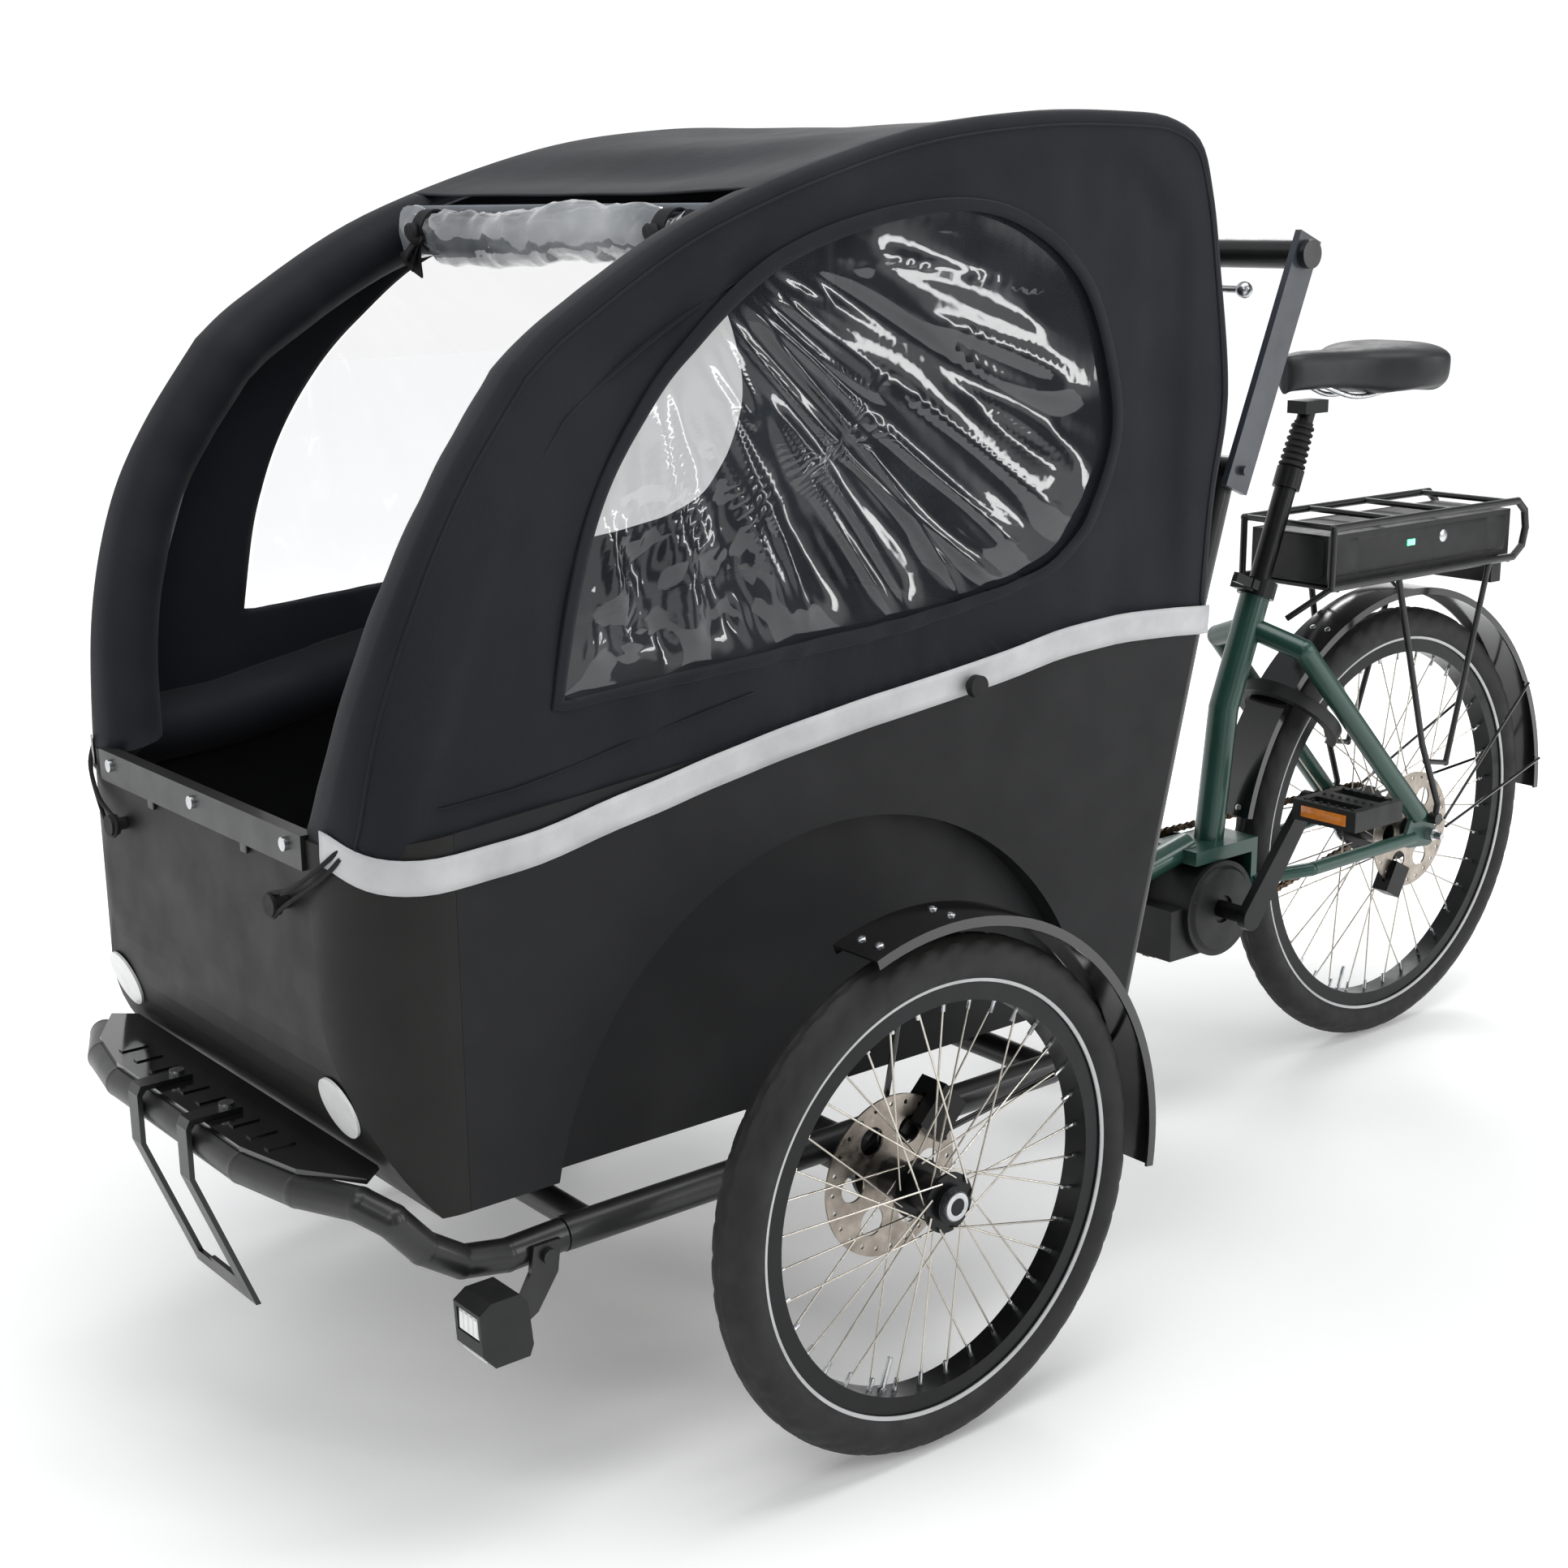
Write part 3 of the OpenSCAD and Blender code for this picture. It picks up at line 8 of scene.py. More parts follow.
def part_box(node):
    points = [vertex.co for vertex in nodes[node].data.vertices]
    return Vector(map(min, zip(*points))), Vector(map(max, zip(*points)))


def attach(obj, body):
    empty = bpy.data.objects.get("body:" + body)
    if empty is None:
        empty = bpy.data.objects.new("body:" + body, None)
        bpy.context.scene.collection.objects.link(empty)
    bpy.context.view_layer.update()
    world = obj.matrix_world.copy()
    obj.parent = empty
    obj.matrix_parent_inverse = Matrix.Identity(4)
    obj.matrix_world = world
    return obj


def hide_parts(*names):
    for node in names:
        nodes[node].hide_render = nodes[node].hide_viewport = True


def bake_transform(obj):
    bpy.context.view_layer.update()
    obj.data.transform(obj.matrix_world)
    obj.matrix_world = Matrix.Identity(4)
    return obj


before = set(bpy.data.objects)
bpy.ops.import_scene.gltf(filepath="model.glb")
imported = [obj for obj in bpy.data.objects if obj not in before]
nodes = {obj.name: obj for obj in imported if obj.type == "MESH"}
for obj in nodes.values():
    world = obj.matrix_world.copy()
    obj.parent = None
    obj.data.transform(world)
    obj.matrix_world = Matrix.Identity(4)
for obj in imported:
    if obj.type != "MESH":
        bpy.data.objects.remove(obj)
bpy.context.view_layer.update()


def middle(node):
    low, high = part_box(node)
    return (low + high) / 2


# The front axle is where the design sizes are counted from, in millimetres.
frontAxle = middle("left_tyre")
rearAxle = middle("rear_tyre")


def vec(x, y, z):
    return Vector((x, y, z))


def link(thing):
    bpy.context.scene.collection.objects.link(thing)


def circle(count):
    return [2 * pi * k / count for k in range(count)]


def ray(angle):
    return vec(cos(angle), 0, sin(angle))


def drift(x, y, z):
    return noise.noise(vec(x, y, z))


# A point in millimetres from under the front axle.
def at(x, y, z):
    return vec(frontAxle.x + x / 1000, y / 1000, z / 1000)


def linear(hexColour):
    values = [int(hexColour[i:i + 2], 16) / 255 for i in (1, 3, 5)]
    return [v / 12.92 if v <= 0.04045 else ((v + 0.055) / 1.055) ** 2.4 for v in values] + [1.0]


# Inputs are sockets to link or plain values, by name or by place.
def addNode(tree, kind, inputs=None, **settings):
    node = tree.nodes.new("ShaderNode" + kind)
    for name, value in settings.items():
        setattr(node, name, value)
    for name, value in (inputs or {}).items():
        if isinstance(value, bpy.types.NodeSocket):
            tree.links.new(value, node.inputs[name])
        else:
            node.inputs[name].default_value = value
    return node


def mixColours(tree, factor, first, second):
    inputs = {0: factor, 6: first, 7: second}
    return addNode(tree, "Mix", inputs, data_type="RGBA").outputs[2]


def sizeScale(millimetres):
    return 1000 / millimetres


# How dense the woven threads are for a given size.
bandDensity = 3.142 / 6.2832
dustTone = "#8d8a84"


# One material: a shader whose tone, roughness and bump are built up in layers.
class Surface:
    def __init__(self, name, **constants):
        self.material = bpy.data.materials.new(name)
        self.material.use_nodes = True
        self.tree = self.material.node_tree
        self.tree.nodes.clear()
        self.shader = addNode(self.tree, "BsdfPrincipled")
        addNode(self.tree, "OutputMaterial", {"Surface": self.shader.outputs["BSDF"]})
        self.coords = addNode(self.tree, "TexCoord").outputs["Object"]
        self.height = None
        for name, value in constants.items():
            self.shader.inputs[name].default_value = value

    def noise(self, size, detail=3.0, roughness=0.55, stretch=None):
        where = self.coords
        if stretch:
            where = addNode(self.tree, "Mapping", {"Vector": where, "Scale": stretch}).outputs["Vector"]
        return addNode(self.tree, "TexNoise", {"Vector": where, "Scale": sizeScale(size), "Detail": detail,
                "Roughness": roughness,}).outputs["Fac"]

    def cells(self, size):
        inputs = {"Vector": self.coords, "Scale": sizeScale(size)}
        return addNode(self.tree, "TexVoronoi", inputs, feature="SMOOTH_F1").outputs["Distance"]

    def bands(self, size, direction, distortion):
        inputs = {"Vector": self.coords, "Scale": sizeScale(size) * bandDensity, "Distortion": distortion}
        wave = addNode(self.tree, "TexWave", inputs, wave_type="BANDS", bands_direction=direction)
        return wave.outputs["Fac"]

    def ranged(self, value, low, high, fromLow=0.3, fromHigh=0.7):
        return addNode(self.tree, "MapRange", {"Value": value, "From Min": fromLow, "From Max": fromHigh,
                "To Min": low, "To Max": high,}).outputs["Result"]

    def product(self, first, second):
        return addNode(self.tree, "Math", {0: first, 1: second}, operation="MULTIPLY").outputs[0]

    def mix(self, factor, first, second):
        return mixColours(self.tree, factor, first, second)

    def shades(self, size, dark, light, detail=4.0):
        share = self.ranged(self.noise(size, detail), 0.0, 1.0)
        return self.mix(share, linear(dark), linear(light))

    def tone(self, colour):
        self.colour = colour
        self.tree.links.new(colour, self.shader.inputs["Base Color"])

    def gloss(self, size, low, high, detail=4.0):
        value = self.ranged(self.noise(size, detail), low, high)
        self.tree.links.new(value, self.shader.inputs["Roughness"])

    def bump(self, height, millimetres, strength=1.0):
        inputs = {"Height": height, "Distance": millimetres / 1000, "Strength": strength}
        if self.height:
            inputs["Normal"] = self.height
        self.height = addNode(self.tree, "Bump", inputs).outputs["Normal"]
        self.tree.links.new(self.height, self.shader.inputs["Normal"])

    # Dust that has settled where the surface faces up.
    def dust(self, hexColour, amount, size=70):
        normal = addNode(self.tree, "NewGeometry").outputs["Normal"]
        up = addNode(self.tree, "SeparateXYZ", {"Vector": normal}).outputs["Z"]
        facing = self.ranged(up, 0.0, 1.0, 0.1, 1.0)
        patchy = self.ranged(self.noise(size, 4.0), 0.3, 1.0)
        factor = self.product(self.product(facing, patchy), amount)
        self.tone(self.mix(factor, self.colour, linear(hexColour)))


finishes = {
    "satinBlackPowderCoat": dict(tones=("#0e0f10", "#131415"), cloud=90, rough=(0.36, 0.46),
        grain=0.5, depth=0.012, coat=0.15, dust=0.04),
    "glossBlackPlastic": dict(tones=("#0b0b0c", "#101012"), cloud=120, rough=(0.1, 0.17),
        grain=6, depth=0.01, coat=0.5, dust=0.03),
    "grainedBlackPanel": dict(tones=("#131416", "#191a1c"), cloud=160, rough=(0.5, 0.62),
        grain=1.1, depth=0.05, cells=True, specular=0.24, dust=0.02),
    "brownBlackPanel": dict(tones=("#141312", "#1a1817"), cloud=160, rough=(0.46, 0.58),
        grain=1.1, depth=0.05, cells=True, specular=0.26, dust=0.02),
    "grainedBlackPlastic": dict(tones=("#0f1011", "#151617"), cloud=60, rough=(0.42, 0.55),
        grain=0.9, depth=0.03, cells=True, specular=0.4, dust=0.03),
    "blackAnodised": dict(tones=("#0f1011", "#161719"), cloud=40, rough=(0.28, 0.38),
        grain=0.4, depth=0.008, metal=0.5, dust=0.02),
    "blueGreyPaint": dict(tones=("#272c34", "#323842"), cloud=50, rough=(0.34, 0.44),
        grain=0.5, depth=0.01, coat=0.2, dust=0.03),
    "darkBlueGreyTube": dict(tones=("#3c444d", "#49515b"), cloud=50, rough=(0.34, 0.44),
        grain=0.5, depth=0.01, coat=0.2, dust=0.03),
    "darkGreenPaint": dict(tones=("#1b3d34", "#234a40"), cloud=110, rough=(0.3, 0.4),
        grain=0.6, depth=0.012, coat=0.35, metal=0.15, dust=0.03),
    "brightSteel": dict(tones=("#b4b7ba", "#cfd1d2"), cloud=15, rough=(0.2, 0.34),
        grain=0.3, depth=0.006, metal=1.0),
    "stainlessSpoke": dict(tones=("#b9b4aa", "#d6d1c6"), cloud=30, rough=(0.16, 0.28),
        grain=0.3, depth=0.004, metal=1.0),
    "brushedRotorSteel": dict(tones=("#8d857c", "#b3aaa0"), cloud=20, rough=(0.24, 0.42),
        grain=0.4, depth=0.01, metal=1.0),
    "oiledChainSteel": dict(tones=("#51453a", "#7a6856"), cloud=9, rough=(0.3, 0.5),
        grain=0.5, depth=0.02, metal=1.0),
    "anodisedRail": dict(tones=("#8f9397", "#a3a7ab"), cloud=40, rough=(0.3, 0.42),
        grain=0.5, depth=0.008, metal=0.9),
    "blackRubber": dict(tones=("#141414", "#1b1b1b"), cloud=30, rough=(0.6, 0.75),
        grain=0.8, depth=0.03, specular=0.35, dust=0.05),
    "filmFacedPlywood": dict(tones=("#14110f", "#1c1815"), cloud=80, rough=(0.45, 0.6),
        grain=1.6, depth=0.06, cells=True, dust=0.05),
    "whiteReflector": dict(tones=("#dcdedd", "#ecedec"), cloud=20, rough=(0.28, 0.36),
        grain=2.2, depth=0.08, cells=True, coat=0.6),
    "amberReflector": dict(tones=("#c8701a", "#dc8420"), cloud=10, rough=(0.14, 0.2),
        grain=2.0, depth=0.1, cells=True, coat=0.8),
    "redLens": dict(tones=("#5c0b0d", "#7a1114"), cloud=12, rough=(0.08, 0.14),
        grain=2.4, depth=0.08, cells=True, coat=1.0),
    "retroStripe": dict(tones=("#abacad", "#c4c5c6"), cloud=60, rough=(0.4, 0.52),
        grain=0.9, depth=0.02, cells=True, specular=0.5),
    "blackWebbing": dict(tones=("#121214", "#1b1b1e"), cloud=25, rough=(0.62, 0.78),
        grain=1.4, depth=0.12, cells=True, specular=0.3),
}


def makeFinish(name, tones, cloud, rough, grain, depth, metal=0.0, coat=0.0, specular=0.5, cells=False,
        dust=0.0):
    surface = Surface(name, **{"Metallic": metal, "Coat Weight": coat, "Coat Roughness": 0.12,
            "Specular IOR Level": specular})
    surface.tone(surface.shades(cloud, *tones))
    surface.gloss(cloud * 0.35, rough[0], rough[1], 5.0)
    fine = surface.cells(grain) if cells else surface.noise(grain, 2.0)
    surface.bump(surface.noise(cloud * 0.5, 3.0), depth * 4, 0.25)
    surface.bump(fine, depth, 0.8)
    if dust:
        surface.dust(dustTone, dust, cloud * 0.8)
    return surface.material


materials = {name: makeFinish(name, **settings) for name, settings in finishes.items()}


def makeHoodCloth():
    surface = Surface("charcoalHoodCloth", **{"Specular IOR Level": 0.16, "Sheen Weight": 0.06,
            "Sheen Roughness": 0.5})
    threads = surface.product(surface.bands(1.6, "X", 0.4), surface.bands(1.6, "Z", 0.4))
    base = surface.shades(240, "#14151a", "#1b1d23")
    surface.tone(surface.mix(surface.product(threads, 0.25), base, linear("#272a32")))
    surface.gloss(90, 0.62, 0.76)
    surface.bump(surface.noise(46, 4.0, 0.5, (1.0, 1.0, 0.5)), 1.6, 0.5)
    surface.bump(threads, 0.12, 0.7)
    surface.dust(dustTone, 0.03, 200)
    return surface.material


def makeClearFilm(name, tint, alpha):
    surface = Surface(name, **{"Specular IOR Level": 0.8, "Coat Weight": 1.0, "Coat Roughness": 0.02,
            "Alpha": alpha})
    surface.tone(surface.shades(120, tint, "#41464c"))
    surface.gloss(60, 0.02, 0.08, 3.0)
    surface.bump(surface.noise(22, 1.0, 0.5, (1.2, 1.0, 0.45)), 0.7, 0.5)
    return surface.material


def makeSeatSkin():
    surface = Surface("stitchedSeatSkin", **{"Specular IOR Level": 0.42})
    surface.tone(surface.shades(60, "#1a1b1d", "#252629"))
    surface.gloss(25, 0.42, 0.58)
    surface.bump(surface.cells(1.3), 0.09, 0.8)
    surface.dust(dustTone, 0.04, 60)
    return surface.material


def makeCushionCloth():
    surface = Surface("greyCushionCloth", **{"Specular IOR Level": 0.2, "Sheen Weight": 0.05})
    weave = surface.product(surface.bands(2.2, "X", 0.6), surface.bands(2.2, "Y", 0.6))
    base = surface.shades(120, "#131417", "#1b1d21")
    surface.tone(surface.mix(surface.product(weave, 0.4), base, linear("#2a2d33")))
    surface.gloss(50, 0.7, 0.85)
    surface.bump(weave, 0.25, 0.7)
    return surface.material


def makeTyreRubber():
    surface = Surface("tyreRubber", **{"Specular IOR Level": 0.35})
    surface.tone(surface.shades(45, "#171718", "#212122"))
    surface.gloss(20, 0.55, 0.7)
    surface.bump(surface.noise(1.4, 3.0), 0.06, 0.7)
    surface.dust("#7c7468", 0.07, 50)
    return surface.material


def makeLight(name, hexColour, strength):
    surface = Surface(name)
    surface.tone(surface.mix(surface.noise(3, 1.0), linear(hexColour), linear("#ffffff")))
    surface.shader.inputs["Emission Color"].default_value = linear(hexColour)
    surface.shader.inputs["Emission Strength"].default_value = strength
    return surface.material


materials["hoodCloth"] = makeHoodCloth()
# The near and far windows are one film: the near pane's copy is tinted dark and made fairly opaque, a painted
# shade; the far pane's copy is tinted pale, painted light shining through it.
materials["clearFilm"] = makeClearFilm("shadedNearWindowFilm", "#24272b", 0.46)
materials["clearFilmFar"] = makeClearFilm("litFarWindowFilm", "#b9bec4", 0.14)
materials["rolledFilm"] = makeClearFilm("rolledWindowFilm", "#a7abae", 0.66)
materials["seatSkin"] = makeSeatSkin()
materials["cushionCloth"] = makeCushionCloth()
materials["tyreRubber"] = makeTyreRubber()
materials["greenLed"] = makeLight("greenLed", "#16e08a", 3.0)
print("materials made")


def makePiece(name, bm, material, body, smooth=True, solid=0.0, angle=40):
    mesh = bpy.data.meshes.new(name)
    bmesh.ops.recalc_face_normals(bm, faces=bm.faces[:])
    bm.to_mesh(mesh)
    bm.free()
    piece = bpy.data.objects.new(name, mesh)
    link(piece)
    for one in (material if isinstance(material, list) else [material]):
        mesh.materials.append(materials[one])
    if smooth:
        mesh.shade_smooth()
        mesh.set_sharp_from_angle(angle=radians(angle))
    if solid:
        shell = piece.modifiers.new("thickness", "SOLIDIFY")
        shell.thickness = solid
        shell.offset = -1
    if body:
        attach(piece, body)
    return piece


def steelPiece(name, bm, body):
    return makePiece(name, bm, "brightSteel", body, angle=30)


# A skin over rows of points; it closes on itself along either direction when asked.
def addGrid(bm, rows, wrapRows=False, wrapColumns=False, skip=None):
    verts = [[bm.verts.new(p) for p in row] for row in rows]
    rowCount, columnCount = len(rows), len(rows[0])
    for i in range(rowCount if wrapRows else rowCount - 1):
        for j in range(columnCount if wrapColumns else columnCount - 1):
            if skip and skip(i, j):
                continue
            a, b = verts[i], verts[(i + 1) % rowCount]
            k = (j + 1) % columnCount
            bm.faces.new((a[j], a[k], b[k], b[j]))
    return verts


# A closed form: rings of points with a face over each end.
def addSolid(bm, rows):
    verts = addGrid(bm, rows, wrapColumns=True)
    bm.faces.new(verts[0])
    bm.faces.new(verts[-1])


# A Catmull-Rom curve through the points.
def smoothPath(points, steps):
    points = [Vector(p) for p in points]
    line = []
    for i in range(len(points) - 1):
        p0 = points[max(i - 1, 0)]
        p1, p2 = points[i], points[i + 1]
        p3 = points[min(i + 2, len(points) - 1)]
        for k in range(steps):
            t = k / steps
            line.append(0.5 * ((2 * p1) + (p2 - p0) * t + (2 * p0 - 5 * p1 + 4 * p2 - p3) * t * t
                    + (3 * p1 - p0 - 3 * p2 + p3) * t * t * t))
    line.append(points[-1])
    return line


# A tube along a path of points; flat squashes it across its second direction.
def addTube(bm, path, radius, sides=12, flat=1.0, closed=False):
    rows = []
    side = None
    last = len(path) - 1
    for i, point in enumerate(path):
        ahead = path[min(i + 1, last)] - path[max(i - 1, 0)]
        ahead.normalize()
        if side is None:
            side = ahead.orthogonal().normalized()
        side = (side - ahead * side.dot(ahead)).normalized()
        up = ahead.cross(side)
        r = radius(i / last) if callable(radius) else radius
        rows.append([point + r * (cos(a) * side + flat * sin(a) * up) for a in circle(sides)])
    verts = addGrid(bm, rows, wrapColumns=True, wrapRows=closed)
    if not closed:
        bm.faces.new(verts[0])
        bm.faces.new(verts[-1])


# A flat strap along a path; widthWays gives the direction across it at each point.
def addStrip(bm, path, widthWays, width, thick=0.0016):
    rows = []
    last = len(path) - 1
    for i, point in enumerate(path):
        ahead = (path[min(i + 1, last)] - path[max(i - 1, 0)]).normalized()
        across = (widthWays[i] - ahead * widthWays[i].dot(ahead)).normalized()
        up = ahead.cross(across)
        half = across * width / 2
        rows.append([point - half + up * thick / 2, point + half + up * thick / 2,
                point + half - up * thick / 2, point - half - up * thick / 2])
    addSolid(bm, rows)


# Turns (radius, along) pairs about an axis; shift(segment, index) may move a point's radius.
def latheRows(profile, centre, axis, segments=96, shift=None):
    axis = Vector(axis).normalized()
    side = vec(1, 0, 0) if abs(axis.x) < 0.9 else vec(0, 0, 1)
    side = (side - axis * side.dot(axis)).normalized()
    up = axis.cross(side)
    rows = []
    for k in range(segments):
        angle = 2 * pi * k / segments
        outward = cos(angle) * side + sin(angle) * up
        row = []
        for i, (radius, along) in enumerate(profile):
            moved = radius + (shift(k, i) if shift else 0.0)
            row.append(centre + axis * along + outward * moved)
        rows.append(row)
    return rows


def addTurned(bm, profile, centre, axis, segments=48, closedProfile=False, shift=None):
    rows = latheRows(profile, centre, axis, segments, shift)
    verts = addGrid(bm, rows, wrapRows=True, wrapColumns=closedProfile)
    if not closedProfile:
        bm.faces.new([row[0] for row in verts])
        bm.faces.new([row[-1] for row in verts])


# A box between two corners with rounded edges.
def addBlock(bm, low, high, bevel=0.0, turn=None):
    made = bmesh.ops.create_cube(bm, size=1.0)["verts"]
    size = Vector(high) - Vector(low)
    centre = (Vector(high) + Vector(low)) / 2
    for v in made:
        v.co = vec(v.co.x * size.x, v.co.y * size.y, v.co.z * size.z)
        if turn:
            v.co = turn @ v.co
        v.co += centre
    if bevel:
        edges = list({e for v in made for e in v.link_edges})
        bmesh.ops.bevel(bm, geom=edges, offset=bevel, segments=3, profile=0.6, affect="EDGES")


# A domed button head with a socket.
def addBolt(bm, centre, axis, radius, height):
    addTurned(bm, [(radius * 0.45, height * 0.45), (radius * 0.5, height), (radius * 0.72, height * 0.97),
            (radius * 0.93, height * 0.7), (radius, height * 0.3), (radius, 0.0)], Vector(centre), axis, 20)


nodeFinish = {
    "satinBlackPowderCoat": ["chassis", "bumper", "step_loop", "headlight_bracket", "handlebar_tube", "rack"],
    "glossBlackPlastic": ["step_plate", "front_mudguards", "rear_mudguard"],
    "grainedBlackPanel": ["box_side_panels", "box_rear_panel"],
    "brownBlackPanel": ["box_front_panel"],
    "grainedBlackPlastic": ["headlight", "motor_case", "battery", "rear_light", "ring_lock", "gear_shifter",
                            "left_pedal", "right_pedal"],
    "blackAnodised": ["front_calipers", "lever_clamps", "left_hub", "right_hub", "rear_hub", "rear_caliper",
                      "seat_clamp", "seat_lever", "seatpost", "seatpost_head", "crank_arms", "chainring",
                      "left_rim", "right_rim", "rear_rim"],
    "blueGreyPaint": ["handlebar_arms"],
    "darkBlueGreyTube": ["hood_hoops"],
    "darkGreenPaint": ["rear_frame"],
    "brightSteel": ["box_fasteners", "stub_axles", "brake_lever_left", "brake_lever_right", "rear_axle",
                    "rear_sprocket", "lock_bolt"],
    "stainlessSpoke": ["left_spokes", "right_spokes", "rear_spokes"],
    "anodisedRail": ["rim_rails"],
    "filmFacedPlywood": ["box_floor", "bench"],
    "whiteReflector": ["front_reflectors"],
    "oiledChainSteel": ["chain"],
}


# Gives a second finish to the faces whose middle passes the test.
def paintPart(node, finish, test):
    mesh = nodes[node].data
    mesh.materials.append(materials[finish])
    index = len(mesh.materials) - 1
    for face in mesh.polygons:
        if test(face.center):
            face.material_index = index


for finish, names in nodeFinish.items():
    for name in names:
        mesh = nodes[name].data
        mesh.materials.clear()
        mesh.materials.append(materials[finish])
        for face in mesh.polygons:
            face.material_index = 0


def rotorTest(centre, planeY, inner):
    return lambda p: abs(p.y - planeY) < 0.0016 and hypot(p.x - centre.x, p.z - centre.z) > inner


leftRotorY = 0.358
paintPart("left_hub", "brushedRotorSteel", rotorTest(frontAxle, leftRotorY, 0.0185))
paintPart("right_hub", "brushedRotorSteel", rotorTest(frontAxle, -leftRotorY, 0.0185))
paintPart("rear_hub", "brushedRotorSteel", rotorTest(rearAxle, 0.0473, 0.0205))
paintPart("box_fasteners", "blackRubber", lambda p: 0.42 < p.z < 0.605 or abs(p.y) > 0.27)
paintPart("rim_rails", "satinBlackPowderCoat", lambda p: p.x > frontAxle.x + 0.49)
print("CAD nodes finished")


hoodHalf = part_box("hood_cover")[1].y
hoodShape = {
    "hem": [(505, 626), (470, 606), (355, 609), (195, 638), (38, 664), (-154, 686), (-333, 708), (-497, 702)],
    "back": [(-497, 702), (-507, 834), (-524, 945), (-503, 1085), (-489, 1150), (-470, 1196), (-430, 1217),
             (-372, 1223), (-230, 1221), (-60, 1198), (147, 1134), (288, 1058), (342, 1018)],
    "front": [(342, 1018), (402, 940), (447, 860), (484, 752), (505, 626)],
    "window": [(309, 740), (290, 830), (262, 905), (222, 966), (170, 1020), (70, 1090), (-70, 1128),
               (-190, 1128), (-290, 1075), (-338, 985), (-343, 897), (-275, 803), (-111, 770), (60, 757),
               (309, 740)],
    "middle": (-10, 935),
    "cornerRadius": 88, "cornerX": 420, "cornerY": 210, "roofFront": 92,
}


def flatPath(points, steps=8):
    return [(p.x, p.z) for p in smoothPath([(x, 0, z) for x, z in points], steps)]


hemLine = flatPath(hoodShape["hem"])
backLine = flatPath(hoodShape["back"])
frontLine = flatPath(hoodShape["front"])
hoodLine = hemLine[:-1] + backLine[:-1] + frontLine[:-1]
windowLine = flatPath(hoodShape["window"])[:-1]


# Where a ray from the hood's middle leaves the outline.
def reach(outline, angle):
    mx, mz = hoodShape["middle"]
    dx, dz = cos(angle), sin(angle)
    best = None
    for i in range(len(outline)):
        (ax, az), (bx, bz) = outline[i], outline[(i + 1) % len(outline)]
        ex, ez = bx - ax, bz - az
        cross = dx * ez - dz * ex
        if abs(cross) < 1e-9:
            continue
        t = ((ax - mx) * ez - (az - mz) * ex) / cross
        u = ((ax - mx) * dz - (az - mz) * dx) / cross
        if t > 0 and -1e-9 <= u <= 1 + 1e-9 and (best is None or t > best):
            best = t
    return mx + dx * best, mz + dz * best


# Half width of the hood in metres at a point of its side, millimetres in.
def hoodSideY(x):
    half = hoodHalf * 1000 - 0.8
    if x > hoodShape["cornerX"]:
        r = hoodShape["cornerRadius"] - 0.8
        inside = max(r * r - (x - hoodShape["cornerX"]) ** 2, 18 * 18)
        half = hoodShape["cornerY"] + sqrt(inside)
    return half / 1000


hoopLine = [(472, 560), (472, 668), (337, 1000), (104, 1135), (-62, 1184), (-372, 1209), (-474, 1120),
        (-474, 745)]


# 1 where the cloth lies over a hoop, falling to 0 away from it.
def overHoop(x, z):
    nearest = 1e9
    for (ax, az), (bx, bz) in zip(hoopLine, hoopLine[1:]):
        t = ((x - ax) * (bx - ax) + (z - az) * (bz - az)) / ((bx - ax) ** 2 + (bz - az) ** 2)
        t = min(max(t, 0.0), 1.0)
        nearest = min(nearest, hypot(x - ax - t * (bx - ax), z - az - t * (bz - az)))
    return exp(-(nearest / 26) ** 4)


# How far the side cloth lies inwards of its flat place, in metres; share runs from ridge to window.
def hoodFold(x, z, share):
    wide = drift(x / 170, z / 420, 1.7) * 5.0
    narrow = drift(x / 48, z / 190, 5.2) * 3.2
    pucker = sin(x / 9.5 + 2 * drift(x / 60, 0, 9)) * 1.1 * exp(-((1 - share) / 0.16) ** 2)
    if z > 860:
        pucker *= 0.35
    free = sin(pi * min(max(share, 0.0), 1.0)) ** 0.7
    sag = 5.0 * free
    loose = (sag + (wide + narrow) * free + pucker) * (1 - overHoop(x, z))
    return -(max(loose, -1.5) + 2.0) / 1000


angleCount = 300
angles = [2 * pi * k / angleCount for k in range(angleCount)]
rimPoints = [reach(hoodLine, a) for a in angles]
windowPoints = [reach(windowLine, a) for a in angles]
ridgeRadius = 10


def onHem(point):
    return min(hypot(point[0] - x, point[1] - z) for x, z in hemLine) < 3


# Unit vector from a rim point into the side panel.
def inward(index):
    (ax, az), (bx, bz) = rimPoints[index - 3], rimPoints[(index + 3) % angleCount]
    tx, tz = bx - ax, bz - az
    length = hypot(tx, tz)
    nx, nz = -tz / length, tx / length
    mx, mz = hoodShape["middle"]
    if nx * (mx - rimPoints[index][0]) + nz * (mz - rimPoints[index][1]) < 0:
        nx, nz = -nx, -nz
    return nx, nz


hemFlags = [onHem(p) for p in rimPoints]
inwards = [inward(i) for i in range(angleCount)]


def sideRing(share, side):
    ring = []
    for i in range(angleCount):
        x0, z0 = rimPoints[i]
        if not hemFlags[i]:
            x0 += inwards[i][0] * ridgeRadius
            z0 += inwards[i][1] * ridgeRadius
        x1, z1 = windowPoints[i]
        x = x0 + (x1 - x0) * share
        z = z0 + (z1 - z0) * share
        ring.append(at(x, 0, z) + vec(0, side * (hoodSideY(x) + hoodFold(x, z, share)), 0))
    return ring


# The sleeve round a front hoop in section: distance in from the front edge and in from the ridge.
sleeveShape = [(0, 0), (0.5, 12), (2, 24), (7, 34), (16, 41), (30, 44), (44, 41), (54, 32), (60, 18),
        (64, 0), (66, -7)]


# 0 at both hoops of a stretch of roof and 1 halfway between them.
def swell(x, shift, length):
    return sin(pi * min(max((x + shift) / length, 0), 1)) ** 2


